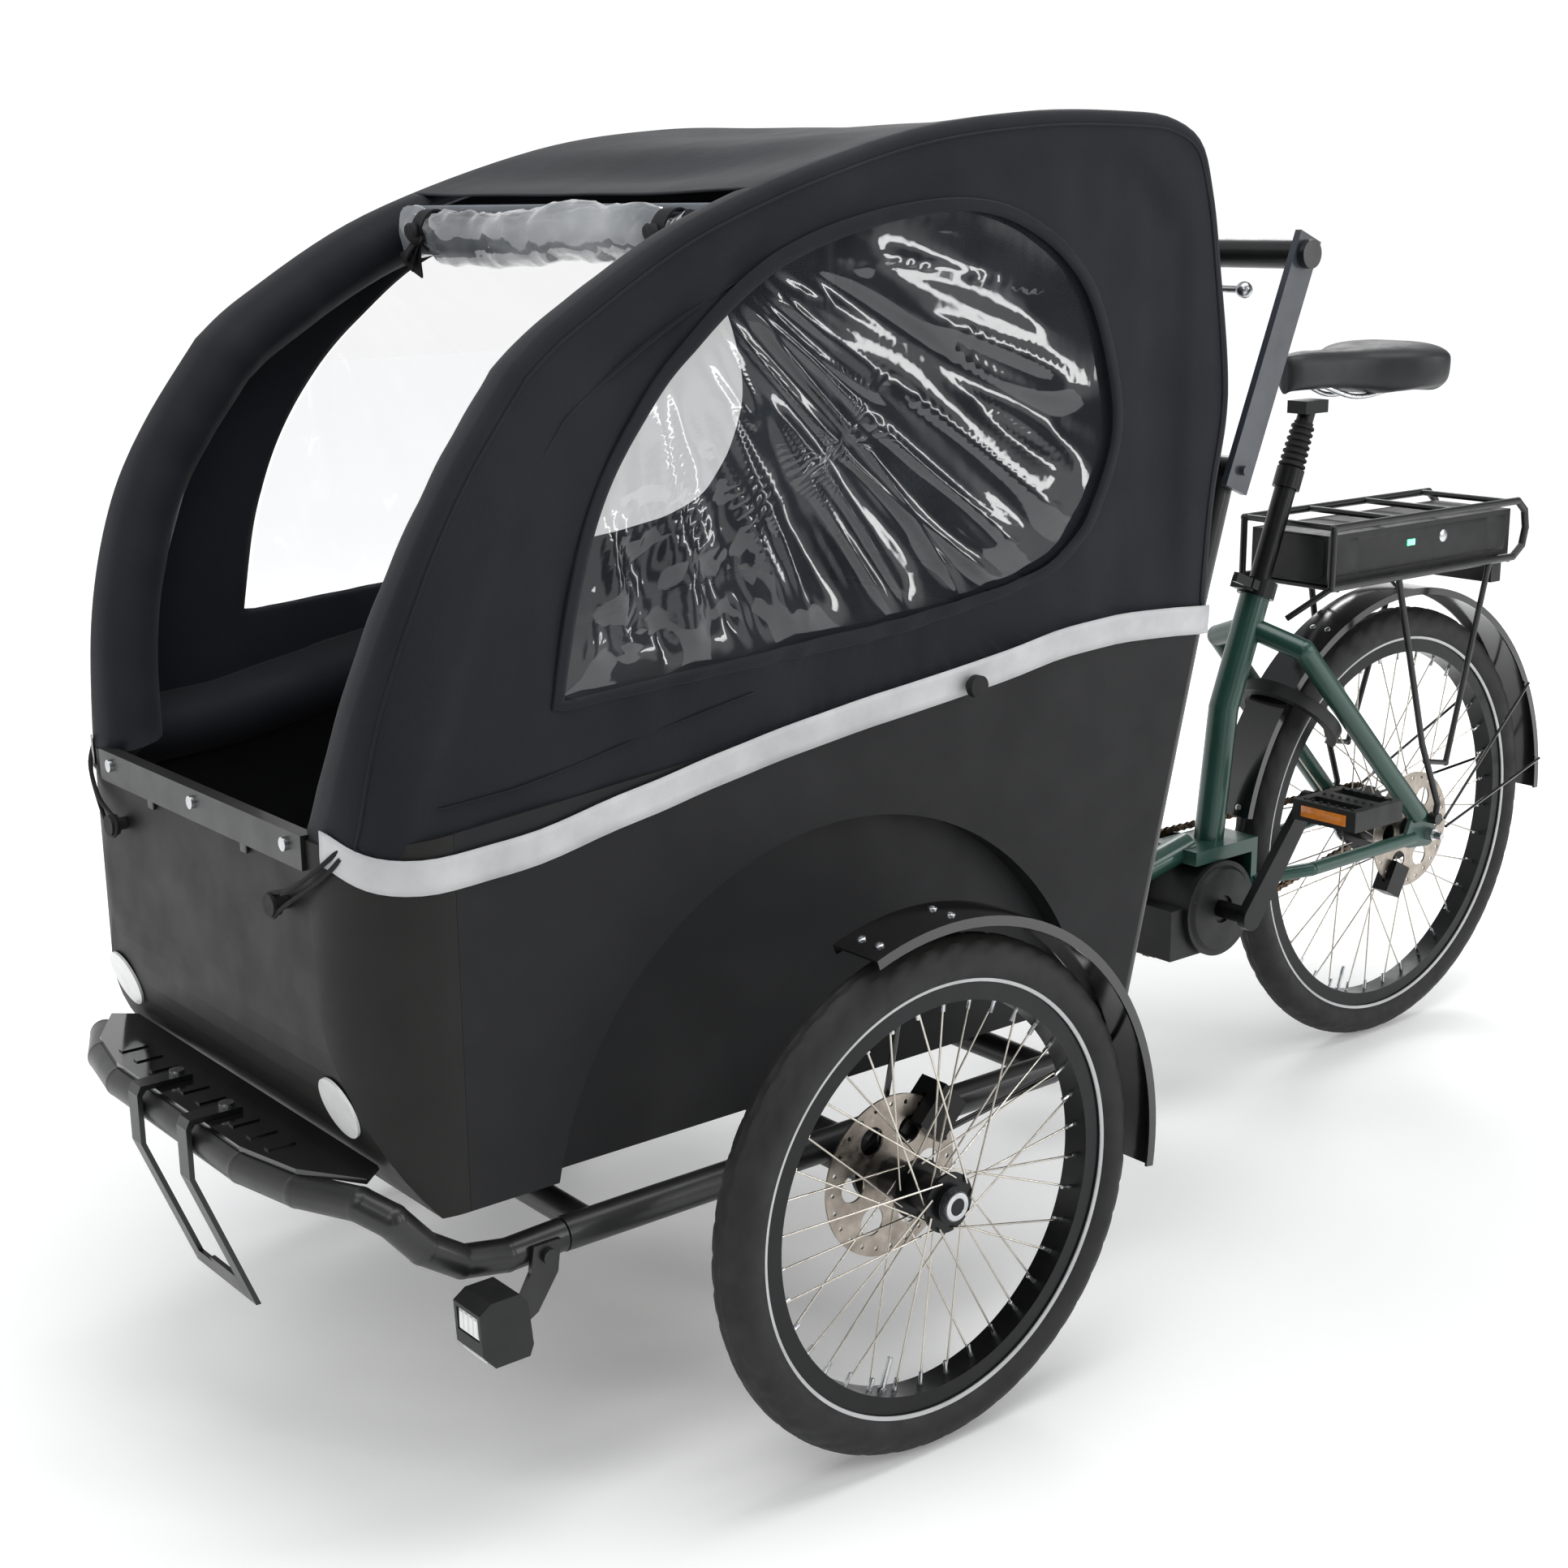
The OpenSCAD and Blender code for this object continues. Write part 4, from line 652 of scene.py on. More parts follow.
def buildHood():
    bm = bmesh.new()
    for side in (1, -1):
        shares = [k / 22 for k in range(23)]
        rows = [sideRing(share, side) for share in shares]
        addGrid(bm, rows, wrapColumns=True)
    # the rounded ridges and the roof, as one run across from side to side
    start = max(range(angleCount), key=lambda i: hemFlags[i] and not hemFlags[(i + 1) % angleCount])
    order = [(start + 1 + k) % angleCount for k in range(angleCount)]
    roofOrder = [i for i in order if not hemFlags[i]]
    rows = []
    lips = []
    sleeves = []
    for i in roofOrder:
        x, z = rimPoints[i]
        nx, nz = inwards[i]
        openFront = x > hoodShape["roofFront"]
        row = []
        for k in range(6):
            turn = pi / 2 * k / 5
            px = x + nx * ridgeRadius * (1 - sin(turn))
            pz = z + nz * ridgeRadius * (1 - sin(turn))
            row.append((px, hoodSideY(px) * 1000 - 2.0 - ridgeRadius * (1 - cos(turn)), pz))
        flat = row[-1][1]
        across = []
        for k in range(1, 31):
            y = flat * (1 - 2 * k / 31)
            span = 1 - (y / flat) ** 2
            between = swell(x, 62, 154) if x > -62 else swell(x, 372, 310)
            sag = span * (4 + 9 * between) + 3.5 * span * drift(x / 120, y / 150, 3.3)
            if x < -440:
                sag = span * (6 + 5 * drift(z / 110, y / 120, 7.3))
            across.append((x + nx * sag, y, z + nz * sag))
        mirrored = [(px, -py, pz) for px, py, pz in reversed(row)]
        rows.append([at(*p) for p in row + across + mirrored])
        lips.append(openFront)
        if openFront:
            wave = 1 + 0.1 * drift(x / 40, z / 40, 2.6)
            sleeves.append([(x + nx * a, max(flat - b * wave, 60), z + nz * a) for a, b in sleeveShape])
    addGrid(bm, rows, skip=lambda i, j: lips[i] and lips[i + 1] and 4 < j < len(rows[0]) - 6)
    for side in (1, -1):
        addGrid(bm, [[at(px, side * py, pz) for px, py, pz in row] for row in sleeves])
    bmesh.ops.remove_doubles(bm, verts=bm.verts[:], dist=0.0006)
    area = sum(f.calc_area() for f in bm.faces)
    hood = makePiece("hoodCover", bm, "hoodCloth", "front", solid=0.0014, angle=75)
    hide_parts("hood_cover")
    return hood, area


hood, hoodArea = buildHood()
print("hood built", round(hoodArea, 3))


def sideName(side):
    return "Left" if side > 0 else "Right"


def sidePoint(x, z, side, out):
    return at(x, 0, z) + vec(0, side * (hoodSideY(x) + out), 0)


# Heights of the reflective band's rows of points over the hem.
hemBandLift = [-3, 5, 13, 21, 27]


def buildHemBand(side):
    bm = bmesh.new()
    rows = []
    for x, z in hemLine:
        wave = 1.2 * drift(x / 60, side, 2.0)
        rows.append([sidePoint(x, z + h + wave, side, 0.0006 + 0.0006 * sin(h)) for h in hemBandLift])
    addGrid(bm, rows)
    return makePiece("hemBand" + sideName(side), bm, "retroStripe", "front",
            solid=0.0009)


# The stitched binding round the window and the seam along the ridge.
def buildWindowTrim(side):
    bm = bmesh.new()
    path = [sidePoint(x, z, side, hoodFold(x, z, 1.0) + 0.0008) for x, z in windowPoints]
    out = [vec(p[0] - w[0], 0, p[1] - w[1]).normalized() for p, w in zip(rimPoints, windowPoints)]
    rows = [[p - o * 0.002 + vec(0, side * 0.0006, 0), p + o * 0.004 + vec(0, side * 0.0014, 0),
            p + o * 0.011 + vec(0, side * 0.0008, 0), p + o * 0.0125 - vec(0, side * 0.0006, 0)] for p,
            o in zip(path, out)]
    addGrid(bm, rows, wrapRows=True)
    name = sideName(side)
    trim = makePiece("windowBinding" + name, bm, "hoodCloth", "front", solid=0.001)
    bm = bmesh.new()
    seam = []
    for i in range(angleCount):
        if not hemFlags[i]:
            x = rimPoints[i][0] + inwards[i][0] * (ridgeRadius + 4)
            z = rimPoints[i][1] + inwards[i][1] * (ridgeRadius + 4)
            seam.append((i, sidePoint(x, z, side, hoodFold(x, z, 0.03) + 0.0004)))
    first = next(k for k in range(len(seam)) if seam[k][0] - seam[k - 1][0] not in (1, 1 - angleCount))
    path = [entry[1] for entry in seam[first:] + seam[:first]]
    addTube(bm, path, 0.0014, 6)
    makePiece("ridgeSeam" + name, bm, "hoodCloth", "front")
    return trim


paneRings = 41
foldsFrom = (250, 1180)
crinkleAt = (290, 790)
crinkleReach = 150


def buildWindowPane(side):
    bm = bmesh.new()
    rows = []
    mx, mz = hoodShape["middle"]
    for k in range(paneRings):
        share = k / paneRings
        ring = []
        for x1, z1 in windowPoints:
            x = x1 + (mx - x1) * share
            z = z1 + (mz - z1) * share
            free = min(1.0, share * 5)
            # long folds fan out and down from the top front of the window
            dx, dz = x - foldsFrom[0], z - foldsFrom[1]
            turn = atan2(dz, dx)
            away = hypot(dx, dz)
            grow = min(1.0, away / 330)
            fold = drift(turn * 7, away / 420, 4.4) * 13
            crease = (1 - abs(drift(turn * 12, away / 300, 8.1)) * 2.6) ** 3 * 4.5
            small = drift(turn * 30, away / 130, 2.2) * 1.8
            corner = exp(-(hypot(x - crinkleAt[0], z - crinkleAt[1]) / crinkleReach) ** 2)
            crinkle = drift(x / 26, z / 30, 6.1) * 9 * corner
            depth = -6 + (fold + crease + small) * free * grow + crinkle * free
            ring.append(at(x, 0, z) + vec(0, side * (hoodSideY(x) - 0.0035 + min(depth, 0.5) / 1000), 0))
        rows.append(ring)
    verts = addGrid(bm, rows, wrapColumns=True)
    bm.faces.new(verts[-1])
    # The near pane gets the film tinted with painted shade, the far pane the film tinted with painted light.
    film = "clearFilm" if side > 0 else "clearFilmFar"
    return makePiece("windowPane" + sideName(side), bm, film, "front", angle=180)


rollShape = {"middle": (118, 0, 1116), "half": 0.236, "turns": 3.2, "steps": 90, "strapAt": 0.205}


# The front window, rolled up under the roof's front edge and tied at both ends.
def buildRolledWindow():
    roll = at(*rollShape["middle"])
    half = rollShape["half"]
    turns, steps = rollShape["turns"], rollShape["steps"]
    bm = bmesh.new()
    rows = []
    for k in range(61):
        y = -half + 2 * half * k / 60
        tied = exp(-((abs(y) - rollShape["strapAt"]) / 0.016) ** 2)
        row = []
        for s in range(steps + 1):
            t = s / steps
            angle = 2 * pi * turns * t + 0.6
            r = (7 + 20.0 * t) * (1 - 0.42 * tied)
            r *= 1 + 0.3 * drift(y * 13, angle * 0.7, 1.1)
            r *= 1 + 0.16 * drift(y * 60 + angle, angle * 1.6, 4)
            drop = 5 * sin(y * 17) * (1 - tied) - 4
            row.append(roll + vec(r * cos(angle) * 0.86, y * 1000, r * sin(angle) * 1.06 + drop) / 1000)
        rows.append(row)
    addGrid(bm, rows)
    piece = makePiece("rolledWindow", bm, "rolledFilm", "front", angle=180)
    area = sum(p.area for p in piece.data.polygons)
    straps = bmesh.new()
    for y in (-rollShape["strapAt"], rollShape["strapAt"]):
        loop = [roll + vec(0.0185 * cos(a), y + 0.002 * sin(2 * a), 0.0215 * sin(a)) for a in circle(24)]
        ways = [vec(0, 1, 0)] * 25
        addStrip(straps, loop + [loop[0]], ways, 0.02, 0.0018)
        for dx, dz in ((0.012, -0.03), (-0.004, -0.04), (0.024, -0.018)):
            tail = smoothPath([roll + vec(0.017, y, -0.006),
                    roll + vec(0.022 + dx * 0.4, y + 0.004, -0.012 + dz * 0.4),
                    roll + vec(0.018 + dx * 0.6, y - 0.004, -0.014 + dz * 0.7)], 6)
            addStrip(straps, tail, [vec(0, 1, 0.1)] * len(tail), 0.012, 0.0018)
        knot = roll + vec(0.021, y, -0.002)
        for k in range(3):
            ring = [knot + 0.008 * vec(0.5 * cos(a), cos(a + k), sin(a)) for a in circle(14)]
            addTube(straps, ring, 0.0036, 8, closed=True)
    strapPiece = makePiece("windowStraps", straps, "blackWebbing", "front")
    return piece, area, strapPiece


hemBands = [buildHemBand(1), buildHemBand(-1)]
trims = [buildWindowTrim(1), buildWindowTrim(-1)]
panes = [buildWindowPane(1), buildWindowPane(-1)]
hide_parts("hood_windows")
rolled, rolledArea, straps = buildRolledWindow()
print("hood trimmed", round(rolledArea, 3))


clothSettings = {"voxel": 0.007, "pressure": 4.0, "frames": 16}


# Blows a closed shape up a little with a cloth simulation and returns the moved mesh.
def puffed(bm, cap, name):
    mesh = bpy.data.meshes.new(name)
    bm.to_mesh(mesh)
    bm.free()
    pad = bpy.data.objects.new(name, mesh)
    link(pad)
    bpy.context.view_layer.objects.active = pad
    remesh = pad.modifiers.new("remesh", "REMESH")
    remesh.mode = "VOXEL"
    remesh.voxel_size = clothSettings["voxel"]
    bpy.context.view_layer.update()
    shaped = bpy.data.meshes.new_from_object(pad.evaluated_get(bpy.context.evaluated_depsgraph_get()))
    pad.modifiers.clear()
    pad.data = shaped
    rest = [v.co.copy() for v in shaped.vertices]
    cloth = pad.modifiers.new("cloth", "CLOTH")
    cloth.settings.use_pressure = True
    cloth.settings.uniform_pressure_force = clothSettings["pressure"]
    cloth.settings.effector_weights.gravity = 0.0
    cloth.point_cache.frame_end = clothSettings["frames"]
    for step in range(1, clothSettings["frames"] + 1):
        bpy.context.scene.frame_set(step)
    moved = bpy.data.meshes.new_from_object(pad.evaluated_get(bpy.context.evaluated_depsgraph_get()))
    target = [v.co.copy() for v in moved.vertices]
    pad.modifiers.clear()
    for vertex, start, end in zip(pad.data.vertices, rest, target):
        shift = end - start
        if shift.length > cap:
            shift *= cap / shift.length
        vertex.co = start + shift
    bpy.context.scene.frame_set(1)
    return pad


cushionChannels = (-0.5, 0.0, 0.5)
channelDepth = 0.006


# A foam cushion with a crowned face, pulled in along its sewn channels.
def buildCushion(name, low, high, lean):
    bm = bmesh.new()
    addBlock(bm, low, high, 0.012)
    pad = puffed(bm, 0.006, name)
    centre = (Vector(low) + Vector(high)) / 2
    size = Vector(high) - Vector(low)
    for vertex in pad.data.vertices:
        p = vertex.co
        across = (p.y - centre.y) / (size.y / 2)
        for line in cushionChannels:
            near = exp(-((across - line) / 0.02) ** 2)
            if lean and p.x > centre.x:
                p.x -= channelDepth * near
            elif not lean and p.z > centre.z:
                p.z -= channelDepth * near
    if lean:
        for vertex in pad.data.vertices:
            vertex.co.x -= (vertex.co.z - low[2]) * lean
    pad.data.materials.append(materials["cushionCloth"])
    pad.data.shade_smooth()
    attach(pad, "front")
    return pad


cushionLow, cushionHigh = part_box("cushions")
seatTop = 0.539
seatPad = buildCushion("benchCushion", (cushionLow.x + 0.034, cushionLow.y + 0.008, seatTop - 0.05),
        (frontAxle.x - 0.074, cushionHigh.y - 0.008, seatTop - 0.004), 0.0)
buildCushion("backCushion", (frontAxle.x - 0.43, cushionLow.y + 0.01, seatTop + 0.012),
        (frontAxle.x - 0.404, cushionHigh.y - 0.01, cushionHigh.z - 0.006), 0.2536)
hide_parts("cushions")
print("cushions made")


def buildBelts():
    bm = bmesh.new()
    for seat in (-0.125, 0.125):
        for side in (-0.045, 0.045):
            path = smoothPath([at(-445, 0, 690) + vec(0, seat + side, 0),
                    at(-414, 0, 610) + vec(0, seat + side, 0),
                    at(-392, 0, 562) + vec(0, seat + side * 0.8, 0),
                    at(-330, 0, 545) + vec(0, seat + side * 0.4, 0), at(-285, 0, 543) + vec(0, seat, 0)], 6)
            addStrip(bm, path, [vec(0, 1, 0)] * len(path), 0.025, 0.0018)
        addBlock(bm, at(-296, 0, 543) + vec(0, seat - 0.016, 0), at(-262, 0, 553) + vec(0, seat + 0.016, 0),
                0.003)
    makePiece("safetyBelts", bm, "blackWebbing", "front")


buildBelts()


tyreSettings = {"segments": 288, "sectionRadius": 0.0234, "stripeIn": 0.0402}


def buildTyre(name, node, body):
    centre = middle(node)
    low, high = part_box(node)
    outer = (high.z - low.z) / 2
    section = tyreSettings["sectionRadius"]
    ringRadius = outer - section
    profile = []
    kinds = []
    for k in range(49):
        angle = radians(-212 + 424 * k / 48)
        radius = ringRadius + section * cos(angle)
        profile.append((radius, section * sin(angle)))
        kinds.append(degrees(angle))

    def tread(k, i):
        lean = abs(kinds[i])
        if lean > 66:
            return 0.0
        if lean < 2.5 or 24 < lean < 30:
            return -0.0011
        side = 3 if kinds[i] > 0 else 0
        if lean <= 24:
            return -0.0012 if (k + side + int(lean / 6)) % 6 == 0 else 0.0
        return -0.0014 if (k + side - int(lean / 9)) % 6 < 2 else 0.0

    bm = bmesh.new()
    rows = latheRows(profile, centre, (0, 1, 0), tyreSettings["segments"], tread)
    addGrid(bm, rows, wrapRows=True)
    tyre = makePiece(name, bm, "tyreRubber", body, angle=25)
    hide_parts(node)
    bm = bmesh.new()
    stripe = outer - tyreSettings["stripeIn"]
    for side in (1, -1):
        wall = section * sqrt(max(0.0, 1 - ((stripe - ringRadius) / section) ** 2))
        ring = [(stripe - 0.0021, side * (wall - 0.0006)), (stripe - 0.0018, side * (wall + 0.0004)),
                (stripe + 0.0018, side * (wall + 0.0014)), (stripe + 0.0021, side * (wall + 0.0004))]
        addTurned(bm, ring, centre, (0, 1, 0), 144, closedProfile=True)
    makePiece(name + "Stripe", bm, "retroStripe", body)
    return outer


# Spoke nipples and the tube's valve.
def buildNipples(name, node, body, outer):
    centre = middle(node)
    rim = outer - 0.047 - 0.013
    bm = bmesh.new()
    for k in range(36):
        angle = radians((k + 0.4) * 10)
        out = ray(angle)
        addTurned(bm, [(0.0013, -0.013), (0.0021, -0.0125), (0.0021, -0.003), (0.0026, -0.0015),
                (0.0026, 0.001)], centre + out * rim, out, 8)
    steelPiece(name + "Nipples", bm, body)
    bm = bmesh.new()
    angle = radians(-71)
    out = ray(angle)
    addTurned(bm, [(0.0016, -0.034), (0.0027, -0.033), (0.0027, -0.004), (0.0042, -0.003), (0.0042, 0.001)],
            centre + out * rim, out, 14)
    steelPiece(name + "Valve", bm, body)


wheels = {"leftWheel": ("left_tyre", "left_rim", "left_wheel"),
        "rightWheel": ("right_tyre", "right_rim", "right_wheel"),
        "rearWheel": ("rear_tyre", "rear_rim", "rear_wheel")}
for wheelName, (tyreNode, rimNode, wheelBody) in wheels.items():
    outerRadius = buildTyre(wheelName + "Tyre", tyreNode, wheelBody)
    buildNipples(wheelName, rimNode, wheelBody, outerRadius)


def buildHubCaps():
    for side, body, name in ((1, "left_wheel", "left"), (-1, "right_wheel", "right")):
        bm = bmesh.new()
        face = vec(frontAxle.x, side * 0.4512, frontAxle.z)
        addTurned(bm, [(0.0125, -0.012), (0.0142, -0.010), (0.0142, -0.0004), (0.0125, 0.0), (0.0085, 0.0),
                (0.0078, -0.0012), (0.0078, -0.012)], face, (0, side, 0), 40, closedProfile=True)
        steelPiece(name + "HubRing", bm, body)
        bm = bmesh.new()
        addTurned(bm, [(0.0001, -0.0005), (0.004, -0.0007), (0.0074, -0.0022), (0.0074, -0.009)], face,
                (0, side, 0), 32)
        makePiece(name + "HubCap", bm, "blackRubber", body)


buildHubCaps()
print("wheels made")


postLean = radians(21)
postWay = vec(-sin(postLean), 0, cos(postLean))


def buildSaddle():
    low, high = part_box("saddle")
    length = high.x - low.x
    halfWidth = high.y
    stations = [(0.0, 0.30, 0.55), (0.03, 0.62, 0.8), (0.1, 0.9, 0.97), (0.2, 1.0, 1.0),
            (0.32, 0.93, 0.985), (0.42, 0.74, 0.95), (0.52, 0.53, 0.915), (0.62, 0.4, 0.9),
            (0.74, 0.32, 0.9), (0.86, 0.28, 0.89), (0.94, 0.23, 0.86), (0.985, 0.15, 0.8), (1.0, 0.06, 0.7)]
    curve = smoothPath(stations, 5)
    thick = high.z - low.z - 0.004
    bm = bmesh.new()
    rows = []
    for share, width, top in curve:
        x = low.x + 0.002 + (length - 0.004) * share
        half = max(width, 0.02) * (halfWidth - 0.002)
        crown = low.z + 0.002 + thick * top
        depth = thick * (0.72 + 0.42 * min(1.0, width * 1.3))
        row = []
        for k in range(40):
            angle = 2 * pi * k / 40
            c, s = cos(angle), sin(angle)
            y = half * copysign(abs(c) ** 0.75, c)
            if s >= 0:
                z = crown - 0.016 + 0.016 * s ** 0.6 - 0.006 * (y / half) ** 4
                groove = exp(-(y / 0.012) ** 2) * sin(pi * min(max((share - 0.12) / 0.7, 0), 1))
                z -= 0.005 * groove
            else:
                z = crown - 0.016 - (depth - 0.016) * (-s) ** 0.4
            row.append(vec(x, y, max(z, low.z - 0.007)))
        rows.append(row)
    addSolid(bm, rows)
    piece = makePiece("saddleShell", bm, "seatSkin", "seat_head", angle=60)
    smooth = piece.modifiers.new("smooth", "SUBSURF")
    smooth.levels = smooth.render_levels = 1
    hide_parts("saddle")
    bm = bmesh.new()
    for side in (1, -1):
        rail = smoothPath([(low.x + 0.05, side * 0.03, low.z + 0.008),
                (low.x + 0.09, side * 0.022, low.z - 0.006), (low.x + 0.15, side * 0.02, low.z - 0.008),
                (high.x - 0.05, side * 0.012, low.z + 0.012)], 6)
        addTube(bm, rail, 0.0035, 10)
    makePiece("saddleRails", bm, "brightSteel", "seat_head")


# The ribbed rubber boot over the sprung head.
def buildBoot():
    collar = vec(frontAxle.x - 0.941, 0, 0.667) + postWay * 0.150
    ribs = 7
    profile = [(0.0168, -0.002)]
    for k in range(ribs):
        base = 0.001 + 0.058 * k / ribs
        wide = 0.0172 - 0.0026 * k / ribs
        profile += [(wide - 0.003, base), (wide, base + 0.0022), (wide, base + 0.0046),
                (wide - 0.003, base + 0.0066)]
    profile.append((0.0124, 0.0605))
    bm = bmesh.new()
    addTurned(bm, profile, collar, postWay, 32)
    boot = makePiece("seatpostBoot", bm, "blackRubber", None, angle=30)
    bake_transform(boot)


buildSaddle()
buildBoot()
print("seat made")


crankAxis = vec(frontAxle.x - 0.840, 0, 0.265)
chainPitch = 0.0127
chainLineY = -0.0495
plateThickness = 0.0009
# Places along a chain plate and its half height there.
plateOutline = ((-0.28, 0.0016), (-0.15, 0.0034), (0.0, 0.0041), (0.25, 0.0033), (0.5, 0.0026),
        (0.75, 0.0033), (1.0, 0.0041), (1.15, 0.0034), (1.28, 0.0016))
rollerProfile = [(0.0018, -0.0040), (0.0018, -0.0024), (0.0037, -0.0023), (0.0037, 0.0023),
        (0.0018, 0.0024), (0.0018, 0.0040)]


# Outer and inner plates and rollers along the same loop as the CAD band.
def buildChain():
    c1, r1 = crankAxis, 0.0835
    c2, r2 = vec(rearAxle.x, 0, rearAxle.z), 0.0435
    gap = (c2 - c1).length
    base = atan2(c2.z - c1.z, c2.x - c1.x)
    offset = acos((r1 - r2) / gap)
    loop = []
    upper, lower = base - offset, base + offset
    steps = 60
    sweep = 2 * pi - 2 * offset
    for k in range(steps + 1):
        a = lower + sweep * k / steps
        loop.append(c1 + r1 * ray(a))
    sweep = 2 * offset
    for k in range(steps + 1):
        a = upper + sweep * k / steps
        loop.append(c2 + r2 * ray(a))
    loop.append(loop[0])
    lengths = [0.0]
    for a, b in zip(loop, loop[1:]):
        lengths.append(lengths[-1] + (b - a).length)
    count = 2 * round(lengths[-1] / (2 * chainPitch))
    pins = []
    index = 0
    for k in range(count):
        target = lengths[-1] * k / count
        while lengths[index + 1] < target:
            index += 1
        share = (target - lengths[index]) / max(lengths[index + 1] - lengths[index], 1e-9)
        pins.append(loop[index].lerp(loop[index + 1], share))
    y = chainLineY
    bm = bmesh.new()
    for k in range(count):
        a, b = pins[k], pins[(k + 1) % count]
        away = 0.0031 if k % 2 else 0.0022
        ahead = (b - a).normalized()
        up = vec(-ahead.z, 0, ahead.x)
        for side in (1, -1):
            plate = []
            for share, half in plateOutline:
                centre = a + (b - a) * share
                plate.append((centre + up * half, centre - up * half))
            for shift in (away, away + plateThickness):
                rows = [[vec(p.x, y + side * shift, p.z) for p in pair] for pair in plate]
                addGrid(bm, rows)
        addTurned(bm, rollerProfile, vec(a.x, y, a.z), (0, 1, 0), 10)
    piece = makePiece("driveChain", bm, "oiledChainSteel", "rear", angle=30)
    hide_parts("chain")


buildChain()
print("chain made")


def buildLamps():
    low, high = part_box("headlight")
    y0, y1 = high.y - 0.0375, high.y - 0.0045
    bm = bmesh.new()
    addBlock(bm, (high.x - 0.0052, y0, low.z + 0.0268), (high.x - 0.0022, y1, low.z + 0.0472), 0.0012)
    for k in range(4):
        y = y0 + 0.002 + 0.0078 * k
        addBlock(bm, (high.x - 0.003, y, low.z + 0.029), (high.x - 0.0012, y + 0.0056, low.z + 0.045),
                0.0008)
    makePiece("headlightLens", bm, "whiteReflector", "headlight", angle=30)
    bm = bmesh.new()
    slant = Matrix.Rotation(radians(40), 3, "Y")
    foot = vec(high.x - 0.0072, (y0 + y1) / 2, low.z + 0.0075)
    addBlock(bm, foot - vec(0.0012, 0.013, 0.006), foot + vec(0.0012, 0.013, 0.006), 0.0006, slant)
    makePiece("headlightReflector", bm, "whiteReflector", "headlight", angle=30)
    low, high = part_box("rear_light")
    bm = bmesh.new()
    addBlock(bm, (low.x - 0.004, low.y + 0.004, low.z + 0.003),
            (low.x + 0.003, high.y - 0.004, low.z + 0.024), 0.0025)
    makePiece("rearLens", bm, "redLens", "rear", angle=30)


# How square the battery's section is: 1 is an ellipse, 0 a box.
cornerPower = 0.28


def buildBattery():
    low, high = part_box("battery")
    bm = bmesh.new()
    grow = 0.0012
    foot = low.z + 0.0012
    cover = [(low.x - 0.001, 0.9), (low.x + 0.012, 1.0), (low.x + 0.05, 1.0), (low.x + 0.053, 0.985),
            (low.x + 0.056, 1.0), (high.x - 0.064, 1.0), (high.x - 0.061, 0.985), (high.x - 0.058, 1.0),
            (high.x - 0.012, 1.0), (high.x + 0.001, 0.88)]
    rows = []
    for x, share in cover:
        hy = (high.y + grow) * share
        hz = (high.z + grow - foot) / 2
        mz = (high.z + grow + foot) / 2
        row = []
        for k in range(48):
            a = 2 * pi * k / 48
            c, s = cos(a), sin(a)
            row.append(vec(x, hy * copysign(abs(c) ** cornerPower, c),
                    mz + hz * share * copysign(abs(s) ** cornerPower, s)))
        rows.append(row)
    addSolid(bm, rows)
    makePiece("batteryShell", bm, "grainedBlackPlastic", "battery", angle=50)
    bm = bmesh.new()
    addBlock(bm, (high.x - 0.178, high.y - 0.0005, high.z - 0.028),
            (high.x - 0.162, high.y + 0.0022, high.z - 0.020), 0.0008)
    makePiece("batteryLed", bm, "greenLed", "battery")
    bm = bmesh.new()
    addTurned(bm, [(0.0002, 0.001), (0.0075, 0.001), (0.0085, 0.0002), (0.0085, -0.001)],
            vec(high.x - 0.24, high.y + 0.0012, high.z - 0.022), (0, 1, 0), 28)
    makePiece("batteryKeyhole", bm, "brightSteel", "battery")


def buildPedals():
    for name, body, side in (("left_pedal", "left_pedal", 1), ("right_pedal", "right_pedal", -1)):
        low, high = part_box(name)
        inner = high.y - 0.096 if side > 0 else low.y + 0.096
        y0, y1 = sorted((inner, inner + side * 0.096))
        bm = bmesh.new()
        for x in (low.x, high.x):
            out = -0.0018 if x == low.x else 0.0018
            a, b = sorted((x - out * 0.2, x + out))
            addBlock(bm, (a, y0 + 0.014, low.z + 0.006), (b, y1 - 0.014, high.z - 0.006), 0.0006)
        makePiece(body + "Reflectors", bm, "amberReflector", body, angle=30)
        bm = bmesh.new()
        for x in (low.x + 0.009, low.x + 0.047, high.x - 0.009):
            for k in range(7):
                y = y0 + 0.012 + 0.012 * k
                for z, up in ((high.z, 1), (low.z, -1)):
                    addTurned(bm, [(0.0022, 0.0), (0.0022, 0.0012), (0.0012, 0.0018)], vec(x, y, z),
                            (0, 0, up), 8)
        makePiece(body + "Studs", bm, "blackRubber", body)
